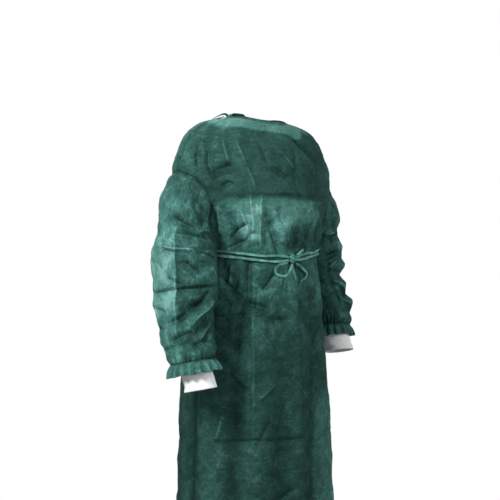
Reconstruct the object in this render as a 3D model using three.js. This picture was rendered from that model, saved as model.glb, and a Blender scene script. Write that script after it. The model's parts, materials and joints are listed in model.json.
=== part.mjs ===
// Surgical gown of spunbond cloth, worn, with its tie wound twice round the waist.
// Millimetres, +Z up. The wearer faces -Y, so the wearer's right arm is at -X.
// The origin is the middle of the neck opening, level with the top of the shoulders.
import * as THREE from 'three';

// Driving sizes
const cloth = 1.6;
const seamGap = 0.3;
const hemDrop = 1150;
const waistDrop = 312;
const degree = Math.PI / 180;
const normalStep = 0.5;
const firstNormalDrop = 0.6;

// Places round the body, in degrees from the wearer's left side
const leftSide = 0;
const rightSide = 180;
const backMiddle = 270;
const fullTurn = 360;

// The right back laps over the left one, this far each way from the middle and this high
const lap = { half: 15, lift: 5, rampFrom: 238, rampTo: 253 };

// Armhole: an oval in the body's side, in drop below the neck and degrees round the body
const armhole = { middleDrop: 193, halfDrop: 57, halfTurn: 25 };

// Angles round the armhole and the sleeve, from the top over the front; the back repeats them
const halfRound = [0, 30, 50, 70, 90, 110, 130, 150, 180];
const wholeRound = [...halfRound, ...halfRound.slice(1, -1).reverse().map((angle) => fullTurn - angle)];

// Colours of the cloth, the knit and the tie
const clothGreen = { color: 0x3f7f72, roughness: 0.72, metalness: 0 };
const knitWhite = { color: 0xe9ebe8, roughness: 0.9, metalness: 0 };
const tieGreen = { color: 0x4f9183, roughness: 0.66, metalness: 0 };

// One row for each ring of the body, from the neck to the hem. drop: place along the panel;
// sideZ, frontZ, backZ: height at the sides, middle front and back; chestWidth: half width of the trunk
// without the shoulders, which reach out from it to halfWidth
const bodyRings = table(
  ['drop', 'sideZ', 'frontZ', 'backZ', 'halfWidth', 'chestWidth', 'frontDepth', 'backDepth'],
  [
    [0, -14, -30, -6, 66, 66, 82, 50],
    [17, -22, -40, -15, 118, 104, 93, 72],
    [35, -37, -54, -31, 160, 125, 102, 92],
    [50, -50, -66, -44, 182, 134, 107, 102],
    [64, -64, -79, -58, 196, 138, 111, 106],
    [92, -92, -103, -88, 211, 141, 117, 112],
    [130, -130, -136, -129, 226, 143, 123, 116],
    [165, -165, -168, -165, 226, 147, 128, 118],
    [200, -200, -200, -200, 213, 151, 130, 118],
    [232, -232, -232, -232, 188, 155, 130, 117],
    [250, -250, -250, -250, 174, 157, 130, 116],
    [258, -258, -258, -258, 170, 158, 129, 115],
    [272, -272, -272, -272, 165, 159, 128, 114],
    [292, -292, -292, -292, 161, 160, 127, 113],
    [312, -312, -312, -312, 158, 158, 125, 111],
    [345, -345, -345, -345, 163, 163, 129, 114],
    [400, -400, -400, -400, 170, 170, 135, 120],
    [480, -480, -480, -480, 178, 178, 141, 126],
    [600, -600, -600, -600, 182, 182, 145, 130],
    [800, -800, -800, -800, 188, 188, 150, 136],
    [1150, -1150, -1150, -1150, 202, 202, 160, 150],
  ],
);

// Rows of the panels' grids, as drops below the neck
const rowDrops = [
  ...steps(0, armhole.middleDrop - armhole.halfDrop, 6),
  ...armholeDrops().slice(1),
  264, 280, 296, 312, 326, 342, 366, 396, 430, 470, 516, 570, 635, 715, 810, 920, 1035, hemDrop,
];

// A fold's height fades in and out over these shares of its length
const foldFade = { inFrom: -0.12, inTo: 0.22, outFrom: 0.78, outTo: 1.12 };

// One degree round the body or the sleeve, as mm on the cloth, for the folds' widths
const millimetresPerTurn = 2.75;
const millimetresPerRound = 1.15;

// The tie presses ridges flat between these drops; folds start below the binding
const pressed = {
  start: waistDrop - 34,
  full: waistDrop - 20,
  fullEnd: waistDrop + 18,
  end: waistDrop + 34,
};
const neckFade = { from: 4, to: 40 };

// Largest folds of the body. Each runs between two places, given as degrees round the body
// and drop; width is its half width in mm, and height is up (ridge) or down (trough) in mm.
const bodyFolds = rows(['turn1', 'drop1', 'turn2', 'drop2', 'width', 'height'], [
  [141, 44, 131, 104, 14, 5],
  [131, 104, 128, 190, 15, 4],
  [172, 30, 143, 82, 13, -5],
  [101, 38, 58, 122, 15, 6],
  [84, 28, 50, 130, 14, -6],
  [173, 60, 156, 148, 13, -6],
  [166, 62, 155, 136, 13, 4],
  [160, 62, 152, 136, 13, -6],
  [152, 132, 150, 190, 14, -7],
  [140, 150, 141, 190, 13, 4],
  [138, 204, 133, 288, 15, 5],
  [132, 240, 150, 284, 14, -6],
  [119, 214, 119, 300, 13, -6],
  [126, 210, 124, 290, 14, 4],
  [116, 236, 104, 312, 13, -6],
  [108, 240, 98, 296, 14, 4],
  [92, 246, 94, 312, 13, -5],
  [78, 226, 84, 308, 14, -5],
  [66, 216, 73, 300, 14, 4],
  [56, 232, 62, 312, 14, -6],
  [42, 244, 46, 300, 14, 4],
  [30, 250, 34, 314, 13, -6],
  [14, 264, 16, 316, 13, -5],
  [162, 264, 162, 316, 13, -5],
  [132, 316, 132, 400, 15, -6],
  [132, 400, 142, 520, 17, -7],
  [142, 520, 144, 1300, 22, -8],
  [122, 340, 130, 470, 17, 4],
  [130, 470, 132, 1300, 24, 6],
  [157, 340, 134, 412, 15, -6],
  [134, 412, 114, 430, 14, -5],
  [131, 438, 98, 454, 14, -4],
  [111, 336, 121, 392, 13, -5],
  [96, 340, 93, 470, 16, 4],
  [84, 318, 76, 420, 15, -5],
  [76, 420, 80, 1300, 22, -8],
  [64, 340, 62, 440, 15, 4],
  [48, 318, 44, 460, 15, -5],
  [26, 318, 22, 480, 15, -5],
  [34, 520, 34, 1300, 24, 7],
  [8, 420, 6, 1300, 22, -7],
  [107, 560, 105, 1300, 26, -5],
  [162, 480, 165, 1300, 24, 7],
  [180, 330, 180, 1300, 20, -6],
  [203, 70, 214, 170, 15, -6],
  [337, 70, 326, 170, 15, -6],
  [226, 120, 231, 250, 16, 5],
  [314, 130, 309, 250, 16, 5],
  [196, 250, 200, 316, 14, -6],
  [216, 226, 213, 316, 14, -6],
  [234, 214, 236, 316, 15, -5],
  [252, 240, 250, 316, 14, -6],
  [292, 236, 290, 316, 14, -6],
  [308, 222, 306, 316, 14, -5],
  [326, 232, 328, 316, 14, -6],
  [345, 246, 344, 316, 14, -6],
  [199, 316, 203, 560, 16, -6],
  [203, 560, 204, 1300, 22, -7],
  [220, 316, 223, 480, 16, -5],
  [236, 400, 238, 1300, 24, 7],
  [250, 316, 252, 1300, 20, -6],
  [298, 316, 296, 1300, 22, -7],
  [318, 330, 316, 1300, 24, 6],
  [334, 316, 331, 1300, 20, -7],
]);

// Sleeves, one row for each ring from the armhole to the gather line at the wrist.
// out: away from the body, forward: towards -Y, tilt: outer side up, pitch: front side up
const sleeveLength = { right: 348, left: 318 };
const sleeveBlend = 62;
const sleeveColumns = ['along', 'out', 'forward', 'z', 'halfOut', 'halfForward', 'tilt', 'pitch'];
const sleeveRings = {
  right: table(sleeveColumns, [
    [0, 200, 0, -193, 63, 54, 64, 0],
    [14, 211, 5, -203, 62, 57, 54, 0],
    [32, 219, 12, -219, 61, 58, 40, 0],
    [56, 227, 22, -242, 59, 56, 24, 1],
    [90, 232, 31, -275, 60, 60, 9, 2],
    [125, 233, 29, -306, 61, 76, 0, 4],
    [165, 234, 29, -350, 60, 77, -3, 6],
    [215, 237, 33, -400, 58, 73, -4, 8],
    [252, 240, 38, -437, 56, 60, -4, 9],
    [290, 242, 47, -475, 54, 58, -4, 10],
    [324, 243, 58, -506, 51, 56, -4, 10],
    [348, 243, 63, -527, 45, 45, -4, 10],
  ]),
  left: table(sleeveColumns, [
    [0, 200, 0, -193, 63, 54, 64, 0],
    [14, 211, -2, -203, 62, 56, 54, 0],
    [32, 219, -10, -219, 61, 58, 40, 0],
    [56, 228, -24, -242, 60, 60, 24, -3],
    [90, 234, -35, -273, 60, 64, 9, -5],
    [125, 235, -34, -306, 61, 67, 0, -3],
    [160, 236, -28, -338, 60, 68, -3, 4],
    [200, 238, -24, -376, 58, 67, -4, 10],
    [240, 240, -10, -412, 57, 66, -4, 14],
    [275, 242, 3, -442, 55, 64, -4, 14],
    [302, 243, 9, -463, 53, 60, -4, 13],
    [318, 243, 14, -477, 46, 46, -4, 12],
  ]),
};

// Largest folds of the sleeves, between two places given as mm along and degrees round;
// round 0 is the outer side, 90 the front, 180 the inner side and 270 the back.
const foldColumns = ['along1', 'round1', 'along2', 'round2', 'width', 'height'];
const sleeveFolds = {
  right: rows(foldColumns, [
    [18, 40, 46, 100, 14, -5],
    [34, -30, 58, 60, 14, 5],
    [60, 40, 84, 120, 13, -6],
    [96, -20, 104, 70, 14, 5],
    [112, 60, 128, 140, 13, -7],
    [124, 20, 142, 90, 13, 5],
    [150, 75, 182, 60, 13, -5],
    [196, 0, 200, 110, 14, -5],
    [214, 100, 262, 20, 15, -7],
    [240, 110, 290, 20, 15, 6],
    [268, 110, 316, 10, 14, -7],
    [306, 100, 330, 40, 12, -5],
    [40, 210, 70, 290, 14, -5],
    [90, 230, 110, 310, 14, -6],
    [120, 220, 134, 300, 13, 5],
    [150, 210, 176, 300, 14, -5],
    [205, 230, 236, 310, 15, -6],
    [250, 220, 282, 310, 14, -6],
    [300, 230, 318, 330, 13, -5],
  ]),
  left: rows(foldColumns, [
    [18, 40, 46, 100, 14, -5],
    [36, -20, 62, 70, 14, 5],
    [66, 30, 92, 120, 13, -6],
    [104, -10, 116, 80, 14, 5],
    [126, 50, 132, 130, 13, -7],
    [150, 0, 156, 100, 13, 5],
    [176, 30, 190, 120, 14, -6],
    [208, -10, 216, 100, 14, 6],
    [236, 20, 250, 110, 14, -7],
    [262, -20, 274, 90, 13, 5],
    [290, 20, 296, 110, 12, -6],
    [40, 210, 70, 290, 14, -5],
    [96, 220, 116, 310, 14, -6],
    [136, 230, 150, 320, 13, -5],
    [170, 220, 190, 310, 14, 5],
    [206, 230, 226, 320, 14, -6],
    [250, 220, 266, 320, 14, -6],
    [286, 230, 298, 320, 12, -4],
  ]),
};

// Open frill past the gather line, and the knit cuff sewn in under it
const frill = { length: 26, waves: 18, gatherWave: 1.1, mouthWave: 3.2 };
const frillFlare = { right: 9, left: 3 };
const frillRows = [0, 11, frill.length];
const knitWall = 2;
const knitRows = [-4, 6, 22, 40, 60];
const knitColumns = 16;
const cuffRings = table(['down', 'half', 'forward'], [
  [-4, 41.5, 0],
  [4, 40.5, 1],
  [13, 35, 4],
  [24, 31.5, 7],
  [42, 31, 8],
  [60, 32, 9],
]);

// Neck binding: a narrow band that carries on from the panels' top edges and rolls out a little
const binding = { height: 8, thickness: 2.6, roll: 1.5, columns: 39 };

// Waist tie: its two strands, as degrees round the body from beside the knot and drops
const strand = { height: 6, thickness: 2.4, lift: 3, firstTurn: 99.4, finalTurn: 451, count: 36, sides: 6 };
const waistTie = table(['turn', 'upperDrop', 'lowerDrop'], [
  [99.4, 315, 322.5],
  [109, 313, 325.5],
  [121.5, 312, 322.5],
  [140, 307, 317],
  [157, 302, 312],
  [180, 298, 308],
  [225, 294, 304],
  [270, 292, 302],
  [315, 293, 303],
  [360, 295, 305],
  [405, 299, 308],
  [430, 306, 314.5],
  [451, 314.5, 322],
]);

// Bow: each strip's line as degrees round the body, drop, and distance off the cloth
const strip = { width: 5.2, thickness: 2, sides: 4 };
const stripColumns = ['turn', 'drop', 'off'];
const bowStrips = {
  bow_loop_right: rows(stripColumns, [
    [99.8, 328, 5.5],
    [104, 330, 7],
    [108.5, 333, 7],
    [111, 340, 6],
    [110.5, 349, 5.5],
    [107, 355.5, 5.5],
    [102.5, 354, 7],
    [99.6, 345, 8.5],
    [97, 332.5, 8.5],
  ]),
  bow_end_left: rows(stripColumns, [
    [92, 329.5, 6],
    [87.5, 334, 7.5],
    [82, 343, 7.5],
    [78.5, 351, 7],
    [79.5, 358, 6.5],
    [84, 363, 6],
    [89, 369, 5.5],
  ]),
  tie_end_hanging: rows(stripColumns, [
    [95, 331, 4],
    [95.4, 340, 3.6],
    [95, 350, 3.6],
    [94, 364, 3.6],
  ]),
  tie_end_short: rows(stripColumns, [
    [90.4, 311, 8.5],
    [88.5, 307, 9.5],
    [86, 302, 10],
    [83, 299, 9.5],
  ]),
};
const knot = { turn: 95.2, drop: 319, off: 7.2, halfWidth: 8, halfHeight: 10, halfDepth: 4.6 };

// Tie at the nape: a plain small bow over the lapped ends of the binding
const napeStrips = {
  neck_tie_loop_right: rows(stripColumns, [
    [263, 10, 5.5],
    [256, 9, 8.5],
    [247, 14, 8.5],
    [243, 21, 7.5],
    [248, 26, 7.5],
    [256, 23, 9.5],
    [263.5, 17, 9.5],
  ]),
  neck_tie_loop_left: rows(stripColumns, [
    [277, 10, 5.5],
    [284, 9, 8.5],
    [293, 14, 13],
    [297, 21, 12],
    [292, 26, 12],
    [284, 23, 9.5],
    [276.5, 17, 9.5],
  ]),
  neck_tie_end_right: rows(stripColumns, [
    [266.5, 22, 5],
    [264, 34, 4.5],
    [262, 60, 4],
    [260, 100, 4],
    [259, 140, 4],
  ]),
  neck_tie_end_left: rows(stripColumns, [
    [273.5, 22, 5],
    [276, 34, 4.5],
    [277.5, 60, 4],
    [279, 100, 4],
    [278, 150, 4],
  ]),
};
const napeKnot = { turn: 270, drop: 13, off: 6.6, halfWidth: 8, halfHeight: 9, halfDepth: 4.6 };

// Small table helpers
function rows(columns, values) {
  return values.map((row) => Object.fromEntries(columns.map((name, index) => [name, row[index]])));
}

// A smooth curve through each column of a table, read by its first column; it never
// overshoots its rows, because the slope is a weighted harmonic mean of its neighbours'.
function table(columns, values) {
  const place = values.map((row) => row[0]);
  const last = place.length - 1;
  const slopes = columns.map((_, column) => {
    const rise = (index) =>
      (values[index + 1][column] - values[index][column]) / (place[index + 1] - place[index]);
    return place.map((_, index) => {
      if (index === 0) return rise(0);
      if (index === last) return rise(last - 1);
      const before = rise(index - 1);
      const after = rise(index);
      if (before * after <= 0) return 0;
      const stepBefore = place[index] - place[index - 1];
      const stepAfter = place[index + 1] - place[index];
      const weightBefore = 2 * stepAfter + stepBefore;
      const weightAfter = stepAfter + 2 * stepBefore;
      return (weightBefore + weightAfter) / (weightBefore / before + weightAfter / after);
    });
  });
  return (at) => {
    let index = 0;
    while (index < last - 1 && at > place[index + 1]) index += 1;
    const span = place[index + 1] - place[index];
    const share = Math.min(1, Math.max(0, (at - place[index]) / span));
    const rest = 1 - share;
    const result = {};
    columns.forEach((name, column) => {
      result[name] = (1 + 2 * share) * rest * rest * values[index][column]
        + share * rest * rest * span * slopes[column][index]
        + share * share * (3 - 2 * share) * values[index + 1][column]
        - share * share * rest * span * slopes[column][index + 1];
    });
    return result;
  };
}

function steps(from, to, count) {
  return Array.from({ length: count + 1 }, (_, index) => from + ((to - from) * index) / count);
}

// Degrees of evenly spaced columns round a closed ring
function evenRound(count) {
  return steps(0, fullTurn, count).slice(0, -1);
}

// Drops at which the rows of the panels meet the sleeve's columns on the armhole's oval
function armholeDrops() {
  return halfRound.map((angle) => armhole.middleDrop - armhole.halfDrop * Math.cos(angle * degree));
}

// How far the armhole reaches round the body from the side, in degrees, at a drop
function armholeTurn(drop) {
  const level = (drop - armhole.middleDrop) / armhole.halfDrop;
  return armhole.halfTurn * Math.sqrt(Math.max(0, 1 - level * level));
}

function smooth(from, to, at) {
  const share = Math.min(1, Math.max(0, (at - from) / (to - from)));
  return share * share * (3 - 2 * share);
}

// Height of all ridges and of all troughs of a list at a place: a bell across each fold
// that fades at its ends
function foldHeight(folds, names, across, scale, at) {
  const height = { ridges: 0, troughs: 0 };
  for (const fold of folds) {
    const startA = fold[names[0]];
    const startB = fold[names[1]];
    const endA = fold[names[2]];
    const endB = fold[names[3]];
    const shiftA = across(at.a - startA) * scale.a;
    const shiftB = (at.b - startB) * scale.b;
    const runA = (endA - startA) * scale.a;
    const runB = (endB - startB) * scale.b;
    const length = Math.hypot(runA, runB);
    const share = (shiftA * runA + shiftB * runB) / (length * length);
    const aside = Math.abs(shiftA * runB - shiftB * runA) / length;
    const fade = smooth(foldFade.inFrom, foldFade.inTo, share)
      * (1 - smooth(foldFade.outFrom, foldFade.outTo, share));
    const kind = fold.height > 0 ? 'ridges' : 'troughs';
    height[kind] += fold.height * fade * Math.exp(-((aside / fold.width) ** 2));
  }
  return height;
}

// Shortest way round, in degrees
function turnDifference(turn) {
  const half = fullTurn / 2;
  return ((((turn + half) % fullTurn) + fullTurn) % fullTurn) - half;
}

// Body surface at degrees round and drop: an oval trunk whose sides reach out to the
// shoulders with the cube of the cosine, dipped at front and back
function bodyBase(turn, drop) {
  const ring = bodyRings(drop);
  const cosine = Math.cos(turn * degree);
  const sine = Math.sin(turn * degree);
  const shoulder = (ring.halfWidth - ring.chestWidth) * cosine ** 3;
  const depth = sine > 0 ? ring.frontDepth : ring.backDepth;
  const middleZ = sine > 0 ? ring.frontZ : ring.backZ;
  const dip = Math.abs(sine) ** 1.6;
  return new THREE.Vector3(
    ring.chestWidth * cosine + shoulder,
    -depth * sine,
    ring.sideZ + (middleZ - ring.sideZ) * dip,
  );
}

// Unit vector square to a surface, from two short steps each way, on the side that faces out
function normalOf(surface, a, b, stepA, stepB, flip = 1) {
  const acrossA = surface(a + stepA, b).sub(surface(a - stepA, b));
  const acrossB = surface(a, b + stepB).sub(surface(a, b - stepB));
  return acrossA.cross(acrossB).normalize().multiplyScalar(flip);
}

function bodyFoldAt(turn, drop) {
  const names = ['turn1', 'drop1', 'turn2', 'drop2'];
  const scale = { a: millimetresPerTurn, b: 1 };
  const height = foldHeight(bodyFolds, names, turnDifference, scale, { a: turn, b: drop });
  const pressedFlat = smooth(pressed.start, pressed.full, drop)
    * (1 - smooth(pressed.fullEnd, pressed.end, drop));
  return smooth(neckFade.from, neckFade.to, drop) * (height.troughs + height.ridges * (1 - pressedFlat));
}

// The height of the right back over the left one
function lapAt(turn) {
  return lap.lift * smooth(lap.rampFrom, lap.rampTo, turn);
}

function bodyNormal(surface, turn, drop) {
  return normalOf(surface, turn, Math.max(drop, firstNormalDrop), normalStep, normalStep);
}

function bodySurface(liftAt) {
  return (turn, drop) => {
    const point = bodyBase(turn, drop);
    const normal = normalOf(bodyBase, turn, drop, normalStep, normalStep);
    return point.addScaledVector(normal, bodyFoldAt(turn, drop) + liftAt(turn));
  };
}

const plainBody = bodySurface(() => 0);
const lappedBody = bodySurface(lapAt);

// Where the sleeve's ring starts: the armhole's edge, by degrees round the sleeve
function armholePlace(sign, round) {
  const drop = armhole.middleDrop - armhole.halfDrop * Math.cos(round * degree);
  const aside = armhole.halfTurn * Math.sin(round * degree);
  const turn = sign < 0 ? rightSide - aside : leftSide + aside;
  return { turn, drop };
}

// Centre and cross directions of a sleeve's ring
function ringFrame(ring, sign) {
  return {
    centre: new THREE.Vector3(sign * ring.out, -ring.forward, ring.z),
    outward: new THREE.Vector3(sign * Math.cos(ring.tilt * degree), 0, Math.sin(ring.tilt * degree)),
    forward: new THREE.Vector3(0, -Math.cos(ring.pitch * degree), Math.sin(ring.pitch * degree)),
  };
}

// A place on an oval round a frame's centre, at degrees round from its outer side
function ovalPoint(frame, halfOut, halfForward, round) {
  return frame.centre.clone()
    .addScaledVector(frame.outward, halfOut * Math.cos(round * degree))
    .addScaledVector(frame.forward, halfForward * Math.sin(round * degree));
}

// A sleeve without its folds: the armhole's edge carried along, giving way to oval rings
function sleeveBase(side, sign) {
  const ringAt = sleeveRings[side];
  const start = ringFrame(ringAt(0), sign).centre;
  return (round, along) => {
    const ring = ringAt(Math.max(along, 0));
    const frame = ringFrame(ring, sign);
    const tube = ovalPoint(frame, ring.halfOut, ring.halfForward, round);
    const place = armholePlace(sign, round);
    const edge = plainBody(place.turn, place.drop).add(frame.centre).sub(start);
    return edge.lerp(tube, smooth(0, sleeveBlend, along));
  };
}

// The folds fade at the seam and the gather line, and are low on the side next to the body
const seamFade = { from: 2, to: 18 };
const gatherFade = { from: 20, to: 4 };
const innerFade = { share: 0.75, from: -0.3, to: -0.9 };

function sleeveSurface(side, sign) {
  const base = sleeveBase(side, sign);
  const names = ['round1', 'along1', 'round2', 'along2'];
  const scale = { a: millimetresPerRound, b: 1 };
  const end = sleeveLength[side];
  return (round, along) => {
    const point = base(round, along);
    const normal = normalOf(base, round, Math.max(along, 1), 1, 1, sign);
    const bare = smooth(seamFade.from, seamFade.to, along)
      * (1 - smooth(end - gatherFade.from, end - gatherFade.to, along));
    const inner = 1 - innerFade.share * smooth(innerFade.from, innerFade.to, Math.cos(round * degree));
    const height = foldHeight(sleeveFolds[side], names, turnDifference, scale, { a: round, b: along });
    return point.addScaledVector(normal, bare * inner * (height.ridges + height.troughs));
  };
}

// A closed wall between the outer and inner faces of a grid of points and normals
function wallOf(grid, closedRound, thickness = cloth) {
  const rowCount = grid.length;
  const columnCount = grid[0].length;
  const positions = [];
  for (const face of [0.5, -0.5]) {
    for (const { point, normal } of grid.flat()) {
      const moved = point.clone().addScaledVector(normal, face * thickness);
      positions.push(moved.x, moved.y, moved.z);
    }
  }
  const faces = [];
  const at = (face, row, column) => (face * rowCount + row) * columnCount + (column % columnCount);
  const quad = (a, b, c, d) => faces.push(a, b, c, a, c, d);
  const spans = closedRound ? columnCount : columnCount - 1;
  const bottom = rowCount - 1;
  for (let column = 0; column < spans; column += 1) {
    const next = column + 1;
    for (let row = 0; row < bottom; row += 1) {
      quad(at(0, row, column), at(0, row + 1, column), at(0, row + 1, next), at(0, row, next));
      quad(at(1, row, column), at(1, row, next), at(1, row + 1, next), at(1, row + 1, column));
    }
    quad(at(0, 0, column), at(0, 0, next), at(1, 0, next), at(1, 0, column));
    quad(at(0, bottom, column), at(1, bottom, column), at(1, bottom, next), at(0, bottom, next));
  }
  if (!closedRound) {
    const edge = columnCount - 1;
    for (let row = 0; row < bottom; row += 1) {
      quad(at(0, row, 0), at(1, row, 0), at(1, row + 1, 0), at(0, row + 1, 0));
      quad(at(0, row, edge), at(0, row + 1, edge), at(1, row + 1, edge), at(1, row, edge));
    }
  }
  return solidOf(positions, faces);
}

// Indexed geometry whose faces point out: turned round if its volume comes out negative
function solidOf(positions, faces) {
  const corner = (index) => new THREE.Vector3().fromArray(positions, index * 3);
  let volume = 0;
  for (let index = 0; index < faces.length; index += 3) {
    const [a, b, c] = [corner(faces[index]), corner(faces[index + 1]), corner(faces[index + 2])];
    volume += a.dot(b.cross(c));
  }
  const ordered = volume > 0 ? faces : faces.slice().reverse();
  const geometry = new THREE.BufferGeometry();
  geometry.setAttribute('position', new THREE.Float32BufferAttribute(positions, 3));
  geometry.setIndex(ordered);
  geometry.computeVertexNormals();
  return geometry;
}

// Draws the edge points of a grid back from a seam by half the gap, square to the seam
function openSeams(grid, edges, closedRound = false) {
  const last = grid.length - 1;
  const end = grid[0].length - 1;
  const ways = [];
  const draw = (line, inner, round) => line.forEach((edge, index) => {
    const final = line.length - 1;
    const ahead = round ? line[(index + 1) % line.length] : line[Math.min(index + 1, final)];
    const behind = round ? line.at(index - 1) : line[Math.max(index - 1, 0)];
    const way = ahead.point.clone().sub(behind.point).cross(edge.normal).normalize();
    const inward = inner[index].point.clone().sub(edge.point).dot(way) < 0 ? -1 : 1;
    ways.push([edge, way.multiplyScalar(inward * seamGap / 2)]);
  });
  if (edges.first) draw(grid.map((line) => line[0]), grid.map((line) => line[1]), false);
  if (edges.final) draw(grid.map((line) => line[end]), grid.map((line) => line[end - 1]), false);
  if (edges.top) draw(grid[0], grid[1], closedRound);
  if (edges.bottom) draw(grid[last], grid[last - 1], closedRound);
  ways.forEach(([edge, way]) => edge.point.add(way));
  return grid;
}

// A body panel: each row runs between two seams, and near its ends it gives way to the
// armhole. Where an end lies on the armhole's edge, panel and sleeve share one normal there.
const giveShare = 0.42;
const edgeSlack = 0.0001;

function panelGrid(surface, columns, firstTurn, finalTurn, armholes) {
  return rowDrops.map((drop) => steps(0, 1, columns).map((share) => {
    const give = armholeTurn(drop);
    const fromFirst = armholes.first === undefined ? 0 : give * (1 - smooth(0, giveShare, share));
    const fromFinal = armholes.final === undefined ? 0 : give * smooth(1 - giveShare, 1, share);
    const turn = firstTurn + (finalTurn - firstTurn) * share + fromFirst - fromFinal;
    const sign = share === 0 ? armholes.first : share === 1 ? armholes.final : undefined;
    const level = (armhole.middleDrop - drop) / armhole.halfDrop;
    const onEdge = sign !== undefined && Math.abs(level) < 1 + edgeSlack;
    const round = Math.acos(Math.min(1, Math.max(-1, level))) / degree;
    return {
      point: surface(turn, drop),
      normal: onEdge ? seamNormal(sign, armholes.front ? round : -round) : bodyNormal(surface, turn, drop),
    };
  }));
}

const sleeves = {
  right: { sign: -1, surface: sleeveSurface('right', -1), length: sleeveLength.right },
  left: { sign: 1, surface: sleeveSurface('left', 1), length: sleeveLength.left },
};

// The mean of the panel's and the sleeve's normals on the armhole's edge
const seamLook = { along: 7, step: 3 };

function seamNormal(sign, round) {
  const place = armholePlace(sign, round);
  const panel = bodyNormal(plainBody, place.turn, place.drop);
  const sleeve = sign < 0 ? sleeves.right : sleeves.left;
  const sleeveNormal = normalOf(sleeve.surface, round, seamLook.along, 1, seamLook.step, sign);
  return panel.add(sleeveNormal).normalize();
}

const sleeveRows = {
  right: [0, 6, 14, 26, 40, 58, 78, 98, 116, 134, 154, 176, 200, 222, 244, 264, 284, 302, 316, 332],
  left: [0, 6, 14, 26, 40, 58, 78, 96, 114, 130, 148, 166, 184, 202, 220, 238, 254, 270, 286, 302],
};

function sleeveGrid(side) {
  const { sign, surface, length } = sleeves[side];
  const normalAt = (round, along) => {
    if (along === 0) return seamNormal(sign, round);
    if (along === length) return gatherNormal(side, round);
    return normalOf(surface, round, along, 1, 1, sign);
  };
  return [...sleeveRows[side], length].map((along) => wholeRound.map((round) => ({
    point: surface(round, along),
    normal: normalAt(round, along),
  })));
}

// At the gather line both walls end in the ring's own plane, so their edges stay parallel
function gatherNormal(side, round) {
  const { outward, forward } = wristFrame(side);
  const { sign, surface, length } = sleeves[side];
  const flat = outward.clone().cross(forward);
  const normal = normalOf(surface, round, length - 2, 1, 1, sign);
  return normal.addScaledVector(flat, -normal.dot(flat)).normalize();
}

// The ring of a sleeve at its gather line, with the way the sleeve points there
const wristLook = 40;

function wristFrame(side) {
  const { sign, length } = sleeves[side];
  const ring = sleeveRings[side](length);
  const frame = ringFrame(ring, sign);
  const before = ringFrame(sleeveRings[side](length - wristLook), sign);
  const axis = frame.centre.clone().sub(before.centre).normalize();
  return { ...frame, sign, ring, axis };
}

function wristPoint(frame, down, halfOut, halfForward, round) {
  return ovalPoint(frame, halfOut, halfForward, round).addScaledVector(frame.axis, down);
}

// A frill: gathered where it meets the sleeve, then flaring in uneven waves to its open edge
function frillGrid(side) {
  const frame = wristFrame(side);
  const { sign, ring } = frame;
  const surface = (round, down) => {
    const share = down / frill.length;
    const wave = Math.cos(round * degree * frill.waves + 0.9 * Math.sin(round * degree * 2));
    const height = THREE.MathUtils.lerp(frill.gatherWave, frill.mouthWave, share)
      * wave * smooth(0, 0.35, share);
    const grow = frillFlare[side] * (1 - (1 - share) ** 2) + height;
    return wristPoint(frame, down, ring.halfOut + grow, ring.halfForward + grow, round);
  };
  return frillRows.map((down) => evenRound(frill.waves * 4).map((round) => ({
    point: surface(round, down),
    normal: down === 0 ? gatherNormal(side, round) : normalOf(surface, round, down, 1, 1, sign),
  })));
}

// A knit cuff: round rings that narrow from the sleeve's inner side to the wrist
function cuffGrid(side) {
  const frame = wristFrame(side);
  const surface = (round, down) => {
    const ring = cuffRings(down);
    return wristPoint(frame, down, ring.half, ring.half, round)
      .addScaledVector(frame.forward, ring.forward);
  };
  return knitRows.map((down) => evenRound(knitColumns).map((round) => ({
    point: surface(round, down),
    normal: normalOf(surface, round, down, 1, 1, frame.sign),
  })));
}

// A closed solid with an even section carried along a line of points, with flat ends
function sweep(points, normals, width, thickness, sides) {
  const positions = [];
  const faces = [];
  points.forEach((point, index) => {
    const ahead = points[Math.min(index + 1, points.length - 1)];
    const behind = points[Math.max(index - 1, 0)];
    const along = ahead.clone().sub(behind).normalize();
    const across = along.clone().cross(normals[index]).normalize();
    const up = across.clone().cross(along).normalize();
    for (let corner = 0; corner < sides; corner += 1) {
      const angle = ((corner + 0.5) / sides) * 2 * Math.PI;
      const place = point.clone()
        .addScaledVector(across, (width / 2) * Math.cos(angle))
        .addScaledVector(up, (thickness / 2) * Math.sin(angle));
      positions.push(place.x, place.y, place.z);
    }
  });
  for (let index = 0; index < points.length - 1; index += 1) {
    for (let corner = 0; corner < sides; corner += 1) {
      const next = (corner + 1) % sides;
      const a = index * sides + corner;
      const b = index * sides + next;
      faces.push(a, b, b + sides, a, b + sides, a + sides);
    }
  }
  const end = (points.length - 1) * sides;
  for (let corner = 1; corner < sides - 1; corner += 1) {
    faces.push(0, corner + 1, corner);
    faces.push(end, end + corner, end + corner + 1);
  }
  return solidOf(positions, faces);
}

// Distance that the waist strands stand off for the lapped backs under them
const lapLeave = { from: 5, to: 18 };

function lapUnder(turn) {
  const over = backMiddle + lap.half;
  return lapAt(turn) * (1 - smooth(over + lapLeave.from, over + lapLeave.to, turn));
}

function strandSolid(dropName) {
  const turns = steps(strand.firstTurn, strand.finalTurn, strand.count);
  const points = [];
  const normals = [];
  for (const turn of turns) {
    const drop = waistTie(turn)[dropName];
    const normal = bodyNormal(bodyBase, turn, drop);
    points.push(bodyBase(turn, drop).addScaledVector(normal, strand.lift + lapUnder(turn)));
    normals.push(normal);
  }
  const width = strand.height / Math.cos(Math.PI / strand.sides);
  return sweep(points, normals, width, strand.thickness, strand.sides);
}

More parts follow.
